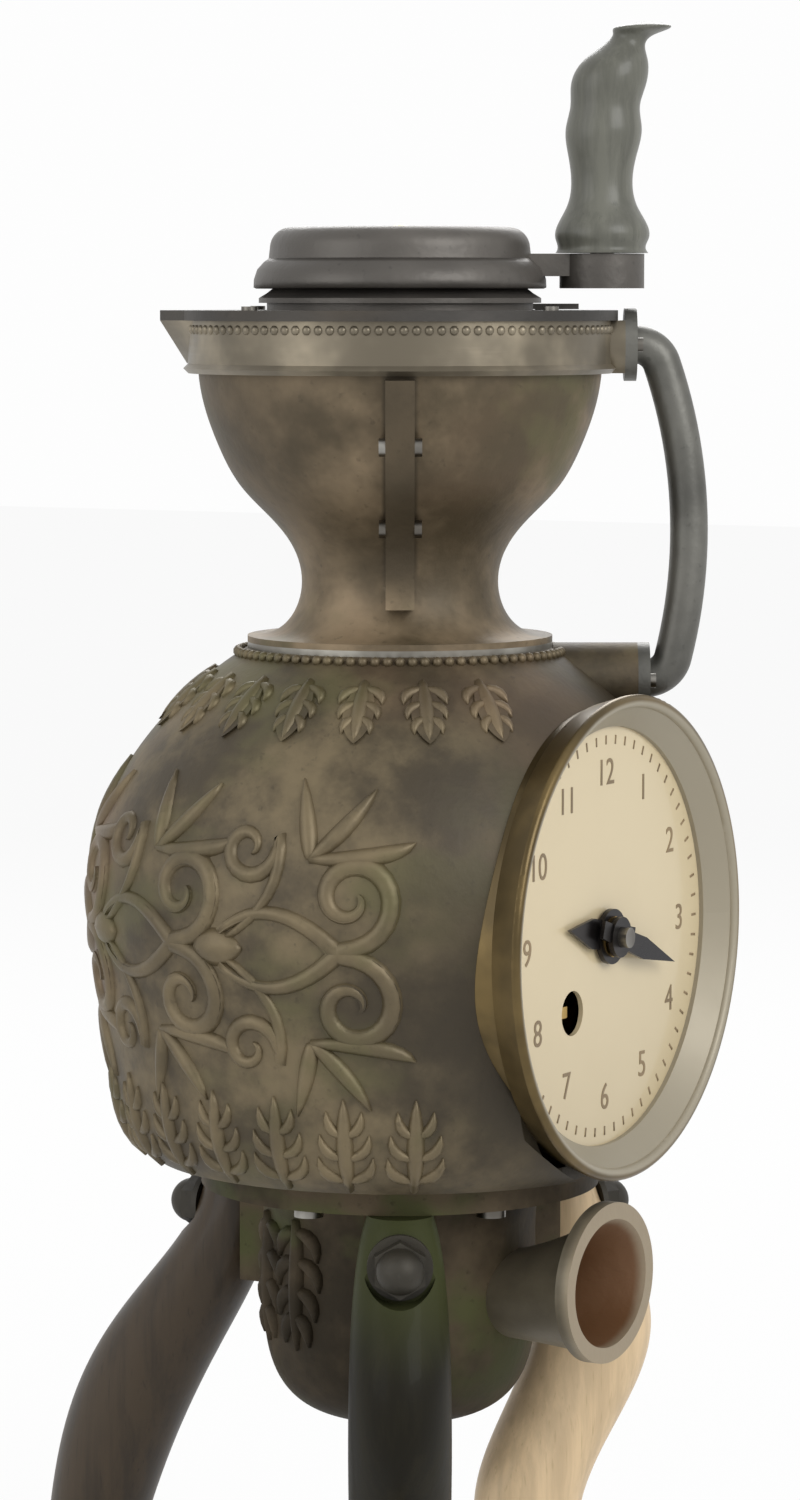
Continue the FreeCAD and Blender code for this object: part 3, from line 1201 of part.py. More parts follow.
def pieces():
    """Every piece of the mill by name."""
    made = {name: leg(name, angle) for name, angle in LEG_ANGLES.items()}
    made["foot_pads"] = foot_pads()
    made["leg_bolts"] = leg_bolts()
    made["lower_bowl"] = lower_bowl()
    made["discharge_chute"] = discharge_chute()
    made["bowl_screws"] = bowl_screws()
    made["adjusting_nut"] = adjusting_nut()
    made["nut_screws"] = nut_screws()
    made["thrust_pin"] = thrust_pin()
    made["globe_body"] = globe_body()
    made["bowl_plate"] = bowl_plate()
    made["lower_bush"] = bush(PLATE_Z, PLATE_Z + PLATE_T, PLATE_Z + PLATE_T + 4.0)
    made["grounds_tray"] = grounds_tray()
    made["tray_bush"] = bush(TRAY_FLOOR_Z - 5.0, TRAY_FLOOR_Z - 1.5, TRAY_FLOOR_Z + TRAY_T)
    made["grounds_duct"] = grounds_duct()
    made["cone_burr"] = cone_burr()
    made["ring_burr"] = ring_burr()
    made["sweeper"] = sweeper()
    made["spindle"] = spindle()
    made["mitre_pinion"] = mitre_pinion()
    made["pinion_bracket"] = pinion_bracket()
    made["bracket_screws"] = bracket_screws()
    made["dial_case"] = dial_case()
    made["arbor_bush"] = arbor_bush()
    made["train_pillars"] = train_pillars()
    made["train_plate"] = train_plate()
    made["train_screws"] = train_screws()
    made["mitre_wheel"] = mitre_wheel()
    made["dial_arbor"] = dial_arbor()
    made["cannon_pinion"] = cannon_pinion()
    made["side_wheel"] = side_wheel()
    made["hour_wheel"] = hour_wheel()
    made["dial_plate"] = dial_plate()
    made["bezel"] = bezel()
    made["short_hand"] = short_hand()
    made["long_hand"] = long_hand()
    made["hopper_handle_half"] = hopper_half(TURN)
    made["hopper_lip_half"] = hopper_half(TURN + 180)
    made["seam_screws"] = seam_screws()
    made["rim_band"] = rim_band()
    made["lid_plate"] = lid_plate()
    made["lid_screws"] = lid_screws()
    made["lid_drum"] = lid_drum()
    made["upper_bush"] = bush(DRUM_Z, DRUM_TOP_Z - DRUM_WALL - 1.5, BUSH_TOP_Z)
    made["fill_shutter"] = fill_shutter()
    made["crank_arm"] = crank_arm()
    made["crank_nut"] = crank_nut()
    made["grip_pin"] = grip_pin()
    made["grip"] = grip()
    made["c_handle"] = c_handle()
    made["handle_screws"] = handle_screws()
    return made


os.makedirs("parts", exist_ok=True)
for piece_name, piece_shape in pieces().items():
    save(piece_name, piece_shape)
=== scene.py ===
"""Looks of a footed coffee mill with a turn-counting dial, dressed over its solid model."""
import math

import bmesh
import bpy
from mathutils import Matrix, Vector
from mathutils.bvhtree import BVHTree


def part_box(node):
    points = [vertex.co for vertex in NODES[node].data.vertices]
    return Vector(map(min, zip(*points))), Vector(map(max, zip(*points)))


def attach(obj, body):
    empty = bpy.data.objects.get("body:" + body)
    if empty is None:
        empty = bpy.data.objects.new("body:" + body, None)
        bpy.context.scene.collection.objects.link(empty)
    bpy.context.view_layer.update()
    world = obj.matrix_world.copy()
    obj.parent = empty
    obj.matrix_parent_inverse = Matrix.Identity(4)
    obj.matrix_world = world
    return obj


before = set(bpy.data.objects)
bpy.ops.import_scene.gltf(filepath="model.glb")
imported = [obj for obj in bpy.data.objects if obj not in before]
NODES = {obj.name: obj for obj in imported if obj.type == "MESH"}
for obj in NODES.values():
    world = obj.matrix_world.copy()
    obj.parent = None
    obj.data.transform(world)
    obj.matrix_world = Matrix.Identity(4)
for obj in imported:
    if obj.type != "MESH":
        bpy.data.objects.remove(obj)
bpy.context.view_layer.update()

bl_info = {
    "name": "Coffee mill dresser",
    "version": (1, 0, 0),
    "blender": (4, 5, 0),
    "location": "View3D > Sidebar > Mill",
    "description": "Gives the coffee mill its finishes, cast relief, dial marks and studio",
    "category": "Object",
}

DIAL_AXIS_Z = (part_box("dial_plate")[0][2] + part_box("dial_plate")[1][2]) / 2
DIAL_FACE_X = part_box("dial_plate")[1][0]
TRAY_FLANGE = 0.0015   # thickness of the tray's flange, which lies between the globe and the hopper
GLOBE_TOP_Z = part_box("hopper_lip_half")[0][2] - TRAY_FLANGE
SEAM_TURN = math.radians(30)   # direction in which the hopper's halves part, from the X axis
FREE_ANGLE = 56.0   # direction on the globe that the dial, the handle's boss and the cast curls leave free

# A belly scroll, across and along the skin in metres, drawn on one side of its middle line and mirrored.
# A curl is its centre, its first and last radius, its start in degrees and its turns.
BIG_CURL = ((0.0125, 0.013), 0.0125, 0.0022, -100.0, 1.35)
BIG_STEM = ((-0.021, -0.004), (-0.006, -0.016))   # start and bend
SMALL_CURL = ((-0.014, 0.024), 0.0085, 0.0018, 20.0, -1.2)
SMALL_STEM = ((-0.020, 0.002), (-0.003, 0.012))
SHARP_ROOT = (0.002, 0.022)
SHARP_LEAVES = (((0.002, 0.026), (-0.002, 0.040)),   # bend and tip
                ((0.010, 0.028), (0.016, 0.038)),
                ((0.022, 0.022), (0.027, 0.026)))
BUD = ((-0.028, 0.0), (-0.022, 0.0), (-0.015, 0.0))
SCROLL_STEP = 34.0   # degrees from one scroll to the next
SCROLL_RISE = 0.002   # height of the scrolls' middle line above the dial's axis
ROOT_DEPTH = 0.0006   # how deep a raised line is let into its casting

# Sprigs of the small and the long leaves, as shares of half the rib: place along it and reach to the side
SPRIGS = ((-0.75, 0.55), (-0.25, 0.5), (0.25, 0.36))
LONG_SPRIGS = ((0.8, 0.42), (0.35, 0.46), (-0.1, 0.4), (-0.5, 0.26))
SPRIG_RISE = 0.5
LONG_SPRIG_DROP = 0.42

TICKS = 60
TICK_SIZE = (0.0022, 0.0006)   # long and wide
SHOULDER_BEADS = 84
BAND_BEADS = 110

# Rolled rim of the cap: out from the drum's side and up from the cap's foot
CAP_GAP = 0.0019   # from the drum's top to the cap's foot
RIM_PROFILE = ((-0.0028, 0.0046), (-0.0012, 0.0034), (0.0004, 0.0016), (0.0012, -0.0008), (0.0013, -0.0028),
               (0.0006, -0.0031), (0.0003, -0.0010), (-0.0006, 0.0006), (-0.0032, 0.0010))
RIM_SIDES = 96

PITS = 420.0   # pits of a casting's skin to the metre

# Stage, in metres and watts
VIEW_MIDDLE = Vector((0, 0, 0.257))
VIEW_HALF_HEIGHT = 0.1875
CAMERA_TURN = math.radians(30)
CAMERA_AWAY = 1.2
CAMERA_Z = 0.370
FLOOR_HALF = 6.0
PAPER_GLOW = 0.9   # share of plain white in what the camera sees of the floor
SKY_LIGHT = 0.55
SKY_SEEN = 0.984
LAMPS = (("key", (1.35, -0.45, 1.0), 0.9, 13.5),   # place, size and power
         ("fill", (-0.6, -1.4, 0.7), 1.2, 7.0),
         ("back", (-0.6, 1.2, 1.2), 0.8, 9.0))


def linear(red, green, blue):
    """A colour given in 0 to 255 steps, as the linear value that a shader takes."""
    def one(value):
        value = value / 255
        return value / 12.92 if value <= 0.04045 else ((value + 0.055) / 1.055) ** 2.4
    return (one(red), one(green), one(blue))


def shade(colour, share):
    """A darker or, with a share over 1, a lighter tone of a linear colour."""
    return tuple(c * share for c in colour)


# Tones of the smaller pieces: base, dull and, for the iron, stain
BRASS = (linear(196, 164, 98), linear(130, 102, 56))
STEEL = (linear(158, 156, 150), linear(96, 92, 86))
BLUED = (linear(52, 48, 46), linear(30, 28, 30))
TIN = (linear(176, 174, 166), linear(120, 116, 108))
BLACK_IRON = (linear(58, 54, 45), linear(34, 31, 25), linear(62, 51, 38))
CHUTE_LIP = linear(158, 145, 122)
PALE_PORES = linear(168, 145, 108)


class Wire:
    """A number socket of a shader tree that can be used in sums."""

    def __init__(self, finish, socket):
        self.finish = finish
        self.socket = socket

    def maths(self, operation, first, second=0.0):
        node = self.finish.node("ShaderNodeMath", {"operation": operation}, {0: first, 1: second})
        return Wire(self.finish, node.outputs[0])

    def __add__(self, other):
        return self.maths("ADD", self, other)

    __radd__ = __add__

    def __sub__(self, other):
        return self.maths("SUBTRACT", self, other)

    def __rsub__(self, other):
        return self.maths("SUBTRACT", other, self)

    def __mul__(self, other):
        return self.maths("MULTIPLY", self, other)

    __rmul__ = __mul__

    def __pow__(self, other):
        return self.maths("POWER", self, other)

    def band(self, low, high):
        """0 below low, 1 above high and smooth between."""
        settings = {"interpolation_type": "SMOOTHSTEP", "clamp": True}
        node = self.finish.node("ShaderNodeMapRange", settings,
                                {"Value": self, "From Min": low, "From Max": high})
        return Wire(self.finish, node.outputs["Result"])


class Finish:
    """One material: a Principled surface whose colour, roughness and bump come from nodes."""

    def __init__(self, name, metallic=0.0, roughness=0.5, coat=0.0, shine=0.5):
        self.material = bpy.data.materials.new(name)
        self.material.use_nodes = True
        self.tree = self.material.node_tree
        self.surface = self.tree.nodes["Principled BSDF"]
        self.surface.inputs["Metallic"].default_value = metallic
        self.surface.inputs["Roughness"].default_value = roughness
        self.surface.inputs["Coat Weight"].default_value = coat
        self.surface.inputs["Specular IOR Level"].default_value = shine
        self.place = self.node("ShaderNodeTexCoord").outputs["Object"]

    def node(self, kind, settings=None, values=None):
        """Add a node, set it up and fill its sockets with values, wires or sockets."""
        node = self.tree.nodes.new(kind)
        for key, value in (settings or {}).items():
            if key == "stops":
                ramp = node.color_ramp.elements
                while len(ramp) < len(value):
                    ramp.new(0.5)
                for stop, (position, colour) in zip(ramp, value):
                    stop.position = position
                    stop.color = (*colour, 1.0)
            else:
                setattr(node, key, value)
        for key, value in (values or {}).items():
            socket = node.inputs[key]
            if isinstance(value, Wire):
                self.tree.links.new(value.socket, socket)
            elif isinstance(value, bpy.types.NodeSocket):
                self.tree.links.new(value, socket)
            else:
                socket.default_value = value
        return node

    def stretched(self, scale):
        """Object coordinates, scaled differently along each axis."""
        return self.node("ShaderNodeMapping", None, {"Vector": self.place, "Scale": scale}).outputs["Vector"]

    def noise(self, scale, detail=4.0, rough=0.55, vector=None):
        node = self.node("ShaderNodeTexNoise", None, {"Vector": vector or self.place, "Scale": scale,
                                                      "Detail": detail, "Roughness": rough})
        return Wire(self, node.outputs["Fac"])

    def coordinate(self, axis="Z"):
        """How far along one axis of the object a place lies."""
        node = self.node("ShaderNodeSeparateXYZ", None, {"Vector": self.place})
        return Wire(self, node.outputs[axis])

    def facing(self):
        """The three parts of the surface's own direction."""
        normal = self.node("ShaderNodeNewGeometry").outputs["Normal"]
        node = self.node("ShaderNodeSeparateXYZ", None, {"Vector": normal})
        return [Wire(self, node.outputs[axis]) for axis in "XYZ"]

    def mix(self, factor, first, second):
        """Blend two colours, each a linear colour or a socket."""
        values = {0: factor}
        for index, colour in ((6, first), (7, second)):
            values[index] = colour if isinstance(colour, bpy.types.NodeSocket) else (*colour, 1.0)
        return self.node("ShaderNodeMix", {"data_type": "RGBA"}, values).outputs[2]

    def colour(self, socket):
        self.tree.links.new(socket, self.surface.inputs["Base Color"])

    def rough(self, wire):
        self.tree.links.new(wire.socket, self.surface.inputs["Roughness"])

    def metal(self, wire):
        self.tree.links.new(wire.socket, self.surface.inputs["Metallic"])

    def bump(self, wire, strength=0.3, distance=0.0006):
        node = self.node("ShaderNodeBump", None, {"Height": wire, "Strength": strength, "Distance": distance})
        self.tree.links.new(node.outputs["Normal"], self.surface.inputs["Normal"])


def casting(name, base, dark, stain, metallic=0.35, roughness=0.55, stain_share=0.5, moss=None, painted_shade=None,
            clouds=22.0, shine=0.5):
    """Old cast metal: cloudy colour, darker hollows, stained patches and a pitted skin.

    A function may be given that paints shade: it gives the share of a darker tone at each place.
    """
    made = Finish(name, metallic, roughness, shine=shine)
    cloud = made.noise(clouds, 5.0, 0.6)
    patch = made.noise(9.0, 3.0, 0.5)
    pits = made.noise(PITS, 2.0, 0.6)
    tone = made.mix(cloud.band(0.38, 0.66), dark, base)
    tone = made.mix(patch.band(0.52, 0.7) * stain_share, tone, stain)
    if moss:
        spread = made.noise(1.0, 4.0, 0.6, made.stretched((17.0, 17.0, 24.0)))
        tone = made.mix(spread.band(0.5, 0.64) * 0.8, tone, moss)
    if painted_shade:
        # Painted shade: a darker tone wherever the given function asks for it.
        tone = made.mix(painted_shade(made, (cloud - 0.5) * 0.02), tone, shade(dark, 0.6))
    speck = pits.band(0.62, 0.78) * 0.35
    made.colour(made.mix(speck, tone, shade(dark, 0.5)))
    made.rough(roughness - 0.12 + cloud * 0.25)
    made.bump(pits * 0.6 + cloud * 0.4, 0.35, 0.0005)
    return made.material


def dial_dirt(made, waver):
    """Painted shade on the globe round the dial's case, strongest below the dial."""
    y, z = made.coordinate("Y"), made.coordinate() - DIAL_AXIS_Z
    near = 1 - ((y * y + z * z) ** 0.5 + waver).band(0.058, 0.084)
    return near * made.coordinate("X").band(0.015, 0.045) * (0.95 - z.band(-0.04, 0.03) * 0.3)


def bowl_dirt(made, waver):
    """Painted shade, darker towards the bottom of the lower bowl."""
    low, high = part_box("lower_bowl")
    return (1 - (made.coordinate() + waver).band(low[2], 0.4 * low[2] + 0.6 * high[2])) * 0.85


def hopper_dirt(made, waver):
    """Darker low on the hopper above its neck, with painted shade on its left side and a painted shadow along
    the seam.
    """
    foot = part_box("hopper_lip_half")[0][2]
    level = made.coordinate() + waver * 0.5
    neck = level.band(foot + 0.016, foot + 0.026) * (1 - level.band(foot + 0.030, foot + 0.050))
    off_seam = made.coordinate("X") * math.cos(SEAM_TURN) + made.coordinate("Y") * math.sin(SEAM_TURN)
    beside = off_seam.maths("ABSOLUTE", off_seam)
    # Painted shadow along the seam's flat face.
    strip = (1 - beside.band(0.0034, 0.0048)) * level.band(foot + 0.009, foot + 0.020)
    # Painted shade on the hopper's left side.
    left = (1 - (off_seam + waver).band(-0.04, 0.0)) * level.band(foot + 0.02, foot + 0.04)
    return neck * 0.2 + left * 0.6 + strip * (0.8 - neck * 0.1 - left * 0.5)


def worn_metal(name, base, dark, roughness=0.32, metallic=0.9, brush=(60.0, 60.0, 900.0)):
    """Turned or drawn metal with fine tool lines and dull stains."""
    made = Finish(name, metallic, roughness)
    lines = made.noise(1.0, 3.0, 0.6, made.stretched(brush))
    cloud = made.noise(30.0, 4.0, 0.6)
    made.colour(made.mix(cloud.band(0.4, 0.68), dark, base))
    made.rough(roughness + (cloud - 0.5) * 0.3 + (lines - 0.5) * 0.12)
    made.bump(lines, 0.12, 0.0002)
    return made.material


def timber(name, base, dark, streak, roughness=0.45, shine=0.3, head=None):
    """Waxed wood with long grain that runs down the leg.

    Head is a colour and a span of heights: the wood takes that colour towards the second height.
    """
    made = Finish(name, 0.0, roughness, 0.2 * shine, shine)
    warp = made.noise(14.0, 3.0, 0.5)
    grain = made.noise(1.0, 6.0, 0.62, made.stretched((190.0, 190.0, 14.0)))
    pores = made.noise(1.0, 2.0, 0.7, made.stretched((900.0, 900.0, 40.0)))
    tone = made.mix((grain + (warp - 0.5) * 0.5).band(0.35, 0.65), dark, base)
    tone = made.mix(pores.band(0.6, 0.75) * 0.5, tone, streak)
    if head:
        colour, low, high = head
        tone = made.mix((made.coordinate() + (warp - 0.5) * 0.02).band(low, high), tone, colour)
    made.colour(tone)
    made.rough(roughness + (grain - 0.5) * 0.25)
    made.bump(grain * 0.7 + pores * 0.3, 0.18, 0.0004)
    return made.material


def dial_ring(name, side, slope):
    """Darkened brass ring: dark round its outside, with a painted highlight that makes the slope down to the
    face pale.
    """
    made = Finish(name, 0.6, 0.4)
    y, z = made.coordinate("Y"), made.coordinate() - DIAL_AXIS_Z
    across, along = made.facing()[1:]
    cloud = made.noise(30.0, 4.0, 0.6)
    # Painted highlight: faces that look towards the dial's axis take the pale colour.
    painted_highlight = 1 - (across * y + along * z + (cloud - 0.5) * 0.02).band(-0.02, 0.02)
    aged = made.mix(cloud.band(0.36, 0.66), shade(side, 0.5), side)
    made.colour(made.mix(painted_highlight, aged, slope))
    made.metal(0.7 - painted_highlight * 0.45)
    made.rough(0.34 + (cloud - 0.5) * 0.3 + painted_highlight * 0.12)
    made.bump(cloud, 0.12, 0.0003)
    return made.material


def chute_casting(name, base, dark, inside, lip, lip_x):
    """Grey casting of the chute: rust-red inside, with a rubbed pale lip."""
    made = Finish(name, 0.3, 0.5)
    low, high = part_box("discharge_chute")
    y, z = made.coordinate("Y"), made.coordinate() - (low[2] + high[2]) / 2
    across, along = made.facing()[1:]
    inner = 1 - (across * y + along * z).band(-0.001, 0.001)
    cloud, pits = made.noise(26.0, 5.0, 0.6), made.noise(PITS, 2.0, 0.6)
    tone = made.mix(cloud.band(0.36, 0.64), dark, base)
    tone = made.mix(inner * 0.85, tone, inside)
    rub = (made.coordinate("X") + (cloud - 0.5) * 0.003).band(lip_x - 0.003, lip_x)
    made.colour(made.mix(rub * 0.8, tone, lip))
    made.rough(0.42 + cloud * 0.2)
    made.bump(pits * 0.6 + cloud * 0.4, 0.3, 0.0005)
    return made.material


def enamel(name, base, aged):
    """Cream dial enamel, yellowed towards its foot, with a faint mottle."""
    made = Finish(name, 0.0, 0.28, 0.35)
    lower = 1 - made.coordinate().band(DIAL_AXIS_Z - 0.05, DIAL_AXIS_Z + 0.01)
    mottle = made.noise(40.0, 5.0, 0.6)
    tone = made.mix(lower * 0.75 + (mottle - 0.5) * 0.35, base, aged)
    made.colour(tone)
    made.rough(0.25 + mottle * 0.12)
    made.bump(mottle, 0.04, 0.0003)
    return made.material


def background_rays(tree):
    """A socket that is 1 for rays that show the background: from the camera, off metal or through glass."""
    path = tree.nodes.new("ShaderNodeLightPath")
    seen = path.outputs["Is Camera Ray"]
    for kind in ("Is Glossy Ray", "Is Transmission Ray"):
        either = tree.nodes.new("ShaderNodeMath")
        either.operation = "MAXIMUM"
        tree.links.new(seen, either.inputs[0])
        tree.links.new(path.outputs[kind], either.inputs[1])
        seen = either.outputs[0]
    return seen


def plain_white(name, lift):
    """Pale studio paper that the camera sees almost white, with the object's shadow kept."""
    material = bpy.data.materials.new(name)
    material.use_nodes = True
    tree = material.node_tree
    tree.nodes.clear()
    paper = tree.nodes.new("ShaderNodeBsdfDiffuse")
    paper.inputs["Color"].default_value = (0.86, 0.86, 0.86, 1.0)
    glow = tree.nodes.new("ShaderNodeEmission")
    glow.inputs["Color"].default_value = (1.0, 1.0, 1.0, 1.0)
    glow.inputs["Strength"].default_value = 1.0
    share = tree.nodes.new("ShaderNodeMath")
    share.operation = "MULTIPLY"
    share.inputs[1].default_value = lift
    tree.links.new(background_rays(tree), share.inputs[0])
    blend = tree.nodes.new("ShaderNodeMixShader")
    tree.links.new(share.outputs[0], blend.inputs[0])
    tree.links.new(paper.outputs[0], blend.inputs[1])
    tree.links.new(glow.outputs[0], blend.inputs[2])
    out = tree.nodes.new("ShaderNodeOutputMaterial")
    tree.links.new(blend.outputs[0], out.inputs["Surface"])
    return material


class MillSizes(bpy.types.PropertyGroup):
    """Sizes of the cast relief and of the marks on the dial."""
    relief_height: bpy.props.FloatProperty(
        name="Relief height", description="How far the cast scrolls stand out of the globe",
        default=0.0017, unit="LENGTH")
    relief_width: bpy.props.FloatProperty(
        name="Relief width", description="Widest part of a cast scroll", default=0.0050, unit="LENGTH")
    belly_scrolls: bpy.props.IntProperty(
        name="Belly scrolls", description="Scrolls round the belly, beside the dial", default=7)
    shoulder_leaves: bpy.props.IntProperty(
        name="Shoulder leaves", description="Leaves round the globe's shoulder", default=17)
    foot_leaves: bpy.props.IntProperty(
        name="Foot leaves", description="Leaves round the globe's foot", default=19)
    bead_radius: bpy.props.FloatProperty(
        name="Bead radius", description="Radius of one cast bead", default=0.0013, unit="LENGTH")
    number_size: bpy.props.FloatProperty(
        name="Number size", description="Height of the numbers on the dial", default=0.0092, unit="LENGTH")
    number_circle: bpy.props.FloatProperty(
        name="Number circle", description="Radius of the circle of numbers", default=0.0400, unit="LENGTH")
    tick_circle: bpy.props.FloatProperty(
        name="Tick circle", description="Radius of the ring of ticks", default=0.0482, unit="LENGTH")
    print_height: bpy.props.FloatProperty(
        name="Print height", description="Thickness of the fired marks on the dial", default=0.00012,
        unit="LENGTH")


def colour_property(label, words, steps):
    """A colour that a user can change, with its default in 0 to 255 steps."""
    return bpy.props.FloatVectorProperty(name=label, description=words, default=linear(*steps), size=3,
                                         subtype="COLOR", min=0.0, max=1.0)


class MillColours(bpy.types.PropertyGroup):
    """Main colours of the mill."""
    globe: colour_property("Globe", "Olive-brown skin of the globe", (114, 101, 76))
    globe_hollow: colour_property("Globe hollows", "Darker clouds on the globe", (66, 57, 41))
    globe_stain: colour_property("Globe stain", "Rosy-brown patches on the globe", (134, 108, 86))
    moss: colour_property("Moss", "Broad olive patches on the castings", (92, 87, 57))
    hopper: colour_property("Hopper", "Brown skin of the hopper", (142, 124, 98))
    hopper_hollow: colour_property("Hopper hollows", "Darker clouds on the hopper", (78, 67, 48))
    patina: colour_property("Patina", "Green stain on the castings", (76, 80, 46))
    lid: colour_property("Lid", "Grey of the lid and the crank", (94, 90, 85))
    bar: colour_property("Bar", "Dark grey of the side handle", (110, 109, 103))
    band: colour_property("Band", "Bright band round the rim", (146, 136, 117))
    ring: colour_property("Dial ring", "Darkened brass round the dial", (112, 94, 58))
    # The pale slope colour is a painted highlight.
    ring_slope: colour_property("Dial ring slope", "Rubbed slope inside the dial ring", (152, 144, 126))
    face: colour_property("Dial face", "Cream enamel", (204, 188, 153))
    face_aged: colour_property("Dial face, aged", "Yellowed lower part of the enamel", (189, 173, 139))
    wood: colour_property("Rear leg", "Brown wood of the rear leg", (64, 52, 37))
    # Painted shade: this leg is made near-black to stand for the shadow it stands in.
    wood_dark: colour_property("Dark leg", "Near-black wood of one front leg", (34, 31, 21))
    wood_pale: colour_property("Pale leg", "Cream wood of the other front leg", (216, 190, 152))
    grip: colour_property("Grip", "Grey-olive wood of the grip", (106, 106, 97))
    chute: colour_property("Chute", "Grey casting of the chute", (122, 113, 94))
    chute_inside: colour_property("Chute inside", "Rust-red inside of the chute", (112, 74, 42))
    ink: colour_property("Dial print", "Faded marks on the dial", (140, 120, 90))


def paint(material, *nodes):
    """Give a CAD node its finish."""
    for name in nodes:
        slots = NODES[name].data.materials
        if len(slots):
            for index in range(len(slots)):
                slots[index] = material
        else:
            slots.append(material)


def finish_piece(piece, body="mill"):
    """Let a piece move with its body."""
    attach(piece, body)


def new_piece(name, bm, material):
    """Turn a bmesh into a smooth object at the origin."""
    bmesh.ops.recalc_face_normals(bm, faces=bm.faces)
    mesh = bpy.data.meshes.new(name)
    bm.to_mesh(mesh)
    bm.free()
    for face in mesh.polygons:
        face.use_smooth = True
    mesh.materials.append(material)
    piece = bpy.data.objects.new(name, mesh)
    bpy.context.scene.collection.objects.link(piece)
    return piece


def ring_tree():
    """Geometry nodes: copies of one motif, turned about the Z axis."""
    tree = bpy.data.node_groups.new("ring_of_motifs", "GeometryNodeTree")
    face = tree.interface
    face.new_socket("Motif", in_out="INPUT", socket_type="NodeSocketGeometry")
    for name, kind in (("Count", "NodeSocketInt"), ("Start", "NodeSocketFloat"), ("Step", "NodeSocketFloat"),
                       ("Material", "NodeSocketMaterial")):
        face.new_socket(name, in_out="INPUT", socket_type=kind)
    face.new_socket("Ring", in_out="OUTPUT", socket_type="NodeSocketGeometry")
    add, link = tree.nodes.new, tree.links.new
    start = add("NodeGroupInput").outputs
    line = add("GeometryNodeMeshLine")
    line.inputs["Offset"].default_value = (0.0, 0.0, 0.0)
    link(start["Count"], line.inputs["Count"])
    turn = add("ShaderNodeMath")
    turn.operation = "MULTIPLY_ADD"
    link(add("GeometryNodeInputIndex").outputs[0], turn.inputs[0])
    link(start["Step"], turn.inputs[1])
    link(start["Start"], turn.inputs[2])
    euler = add("ShaderNodeCombineXYZ")
    link(turn.outputs[0], euler.inputs["Z"])
    rotation = add("FunctionNodeEulerToRotation")
    link(euler.outputs[0], rotation.inputs[0])
    copies = add("GeometryNodeInstanceOnPoints")
    link(line.outputs[0], copies.inputs["Points"])
    link(start["Motif"], copies.inputs["Instance"])
    link(rotation.outputs[0], copies.inputs["Rotation"])
    real = add("GeometryNodeRealizeInstances")
    link(copies.outputs[0], real.inputs[0])
    coat = add("GeometryNodeSetMaterial")
    link(real.outputs[0], coat.inputs["Geometry"])
    link(start["Material"], coat.inputs["Material"])
    link(coat.outputs[0], add("NodeGroupOutput").inputs[0])
    return tree


def repeat(piece, count, start, step, material):
    """Replace a motif by a ring of copies of it, as a plain mesh."""
    tree = bpy.data.node_groups.get("ring_of_motifs") or ring_tree()
    modifier = piece.modifiers.new("ring", "NODES")
    modifier.node_group = tree
    values = {"Count": count, "Start": math.radians(start), "Step": math.radians(step), "Material": material}
    for item in tree.interface.items_tree:
        if item.in_out == "INPUT" and item.name in values:
            modifier[item.identifier] = values[item.name]
    bpy.context.view_layer.update()
    graph = bpy.context.evaluated_depsgraph_get()
    mesh = bpy.data.meshes.new_from_object(piece.evaluated_get(graph))
    piece.modifiers.clear()
    old, piece.data = piece.data, mesh
    mesh.name = piece.name
    bpy.data.meshes.remove(old)
    return piece


class Skin:
    """The outside of a round casting, read from its own solid along one free direction."""

    def __init__(self, node, angle, middle_z):
        self.surface = BVHTree.FromObject(NODES[node], bpy.context.evaluated_depsgraph_get())
        self.out = Vector((math.cos(math.radians(angle)), math.sin(math.radians(angle)), 0.0))
        self.middle = middle_z
        self.stretch = 1 / math.hypot(1.0, self.slope(middle_z))

    def radius(self, z):
        outside = 0.3
        hit = self.surface.ray_cast(self.out * outside + Vector((0, 0, z)), -self.out)[0]
        if hit is None:
            raise RuntimeError("the casting has no skin at this height")
        return Vector((hit.x, hit.y)).length

    def slope(self, z):
        step = 0.0008
        return (self.radius(z + step) - self.radius(z - step)) / (2 * step)

    def at(self, across, along, lift):
        """A point on the skin, given across and along it and raised off it, about angle 0."""
        z = self.middle + along * self.stretch
        r, lean = self.radius(z), self.slope(z)
        long = math.hypot(1.0, lean)
        angle = across / r
        r += lift / long
        return Vector((r * math.cos(angle), r * math.sin(angle), z - lift * lean / long))


def swell(t):
    """Width of a scroll along its length: a quick start, full in the middle and a fine tail."""
    return 0.12 + 0.88 * math.sin(math.pi * min(1.0, 0.08 + 0.92 * t)) ** 0.7


def raised_line(bm, skin, path, width, height):
    """One rounded raised line that follows a path on a casting's skin."""
    rows = []
    last = len(path) - 1
    for i, (u, v) in enumerate(path):
        before, after = path[max(0, i - 1)], path[min(last, i + 1)]
        du, dv = after[0] - before[0], after[1] - before[1]
        size = math.hypot(du, dv) or 1.0
        side = (-dv / size, du / size)
        share = swell(i / last)
        w, h = width / 2 * share, height * (0.35 + 0.65 * share)
        outline = [(-w, -ROOT_DEPTH), (-w, 0.0), (-0.6 * w, 0.72 * h), (0.0, h), (0.6 * w, 0.72 * h),
                   (w, 0.0), (w, -ROOT_DEPTH)]
        rows.append([bm.verts.new(skin.at(u + side[0] * o, v + side[1] * o, lift)) for o, lift in outline])
    count = len(rows[0])
    for first, second in zip(rows, rows[1:]):
        for k in range(count):
            bm.faces.new((first[k], first[(k + 1) % count], second[(k + 1) % count], second[k]))
    bm.faces.new(rows[0])
    bm.faces.new(rows[-1][::-1])


def spiral(centre, start_r, end_r, start_angle, turns, steps):
    """A curl that winds from one radius to another."""
    points = []
    for i in range(steps + 1):
        t = i / steps
        r = start_r + (end_r - start_r) * t ** 0.8
        a = math.radians(start_angle) + 2 * math.pi * turns * t
        points.append((centre[0] + r * math.cos(a), centre[1] + r * math.sin(a)))
    return points


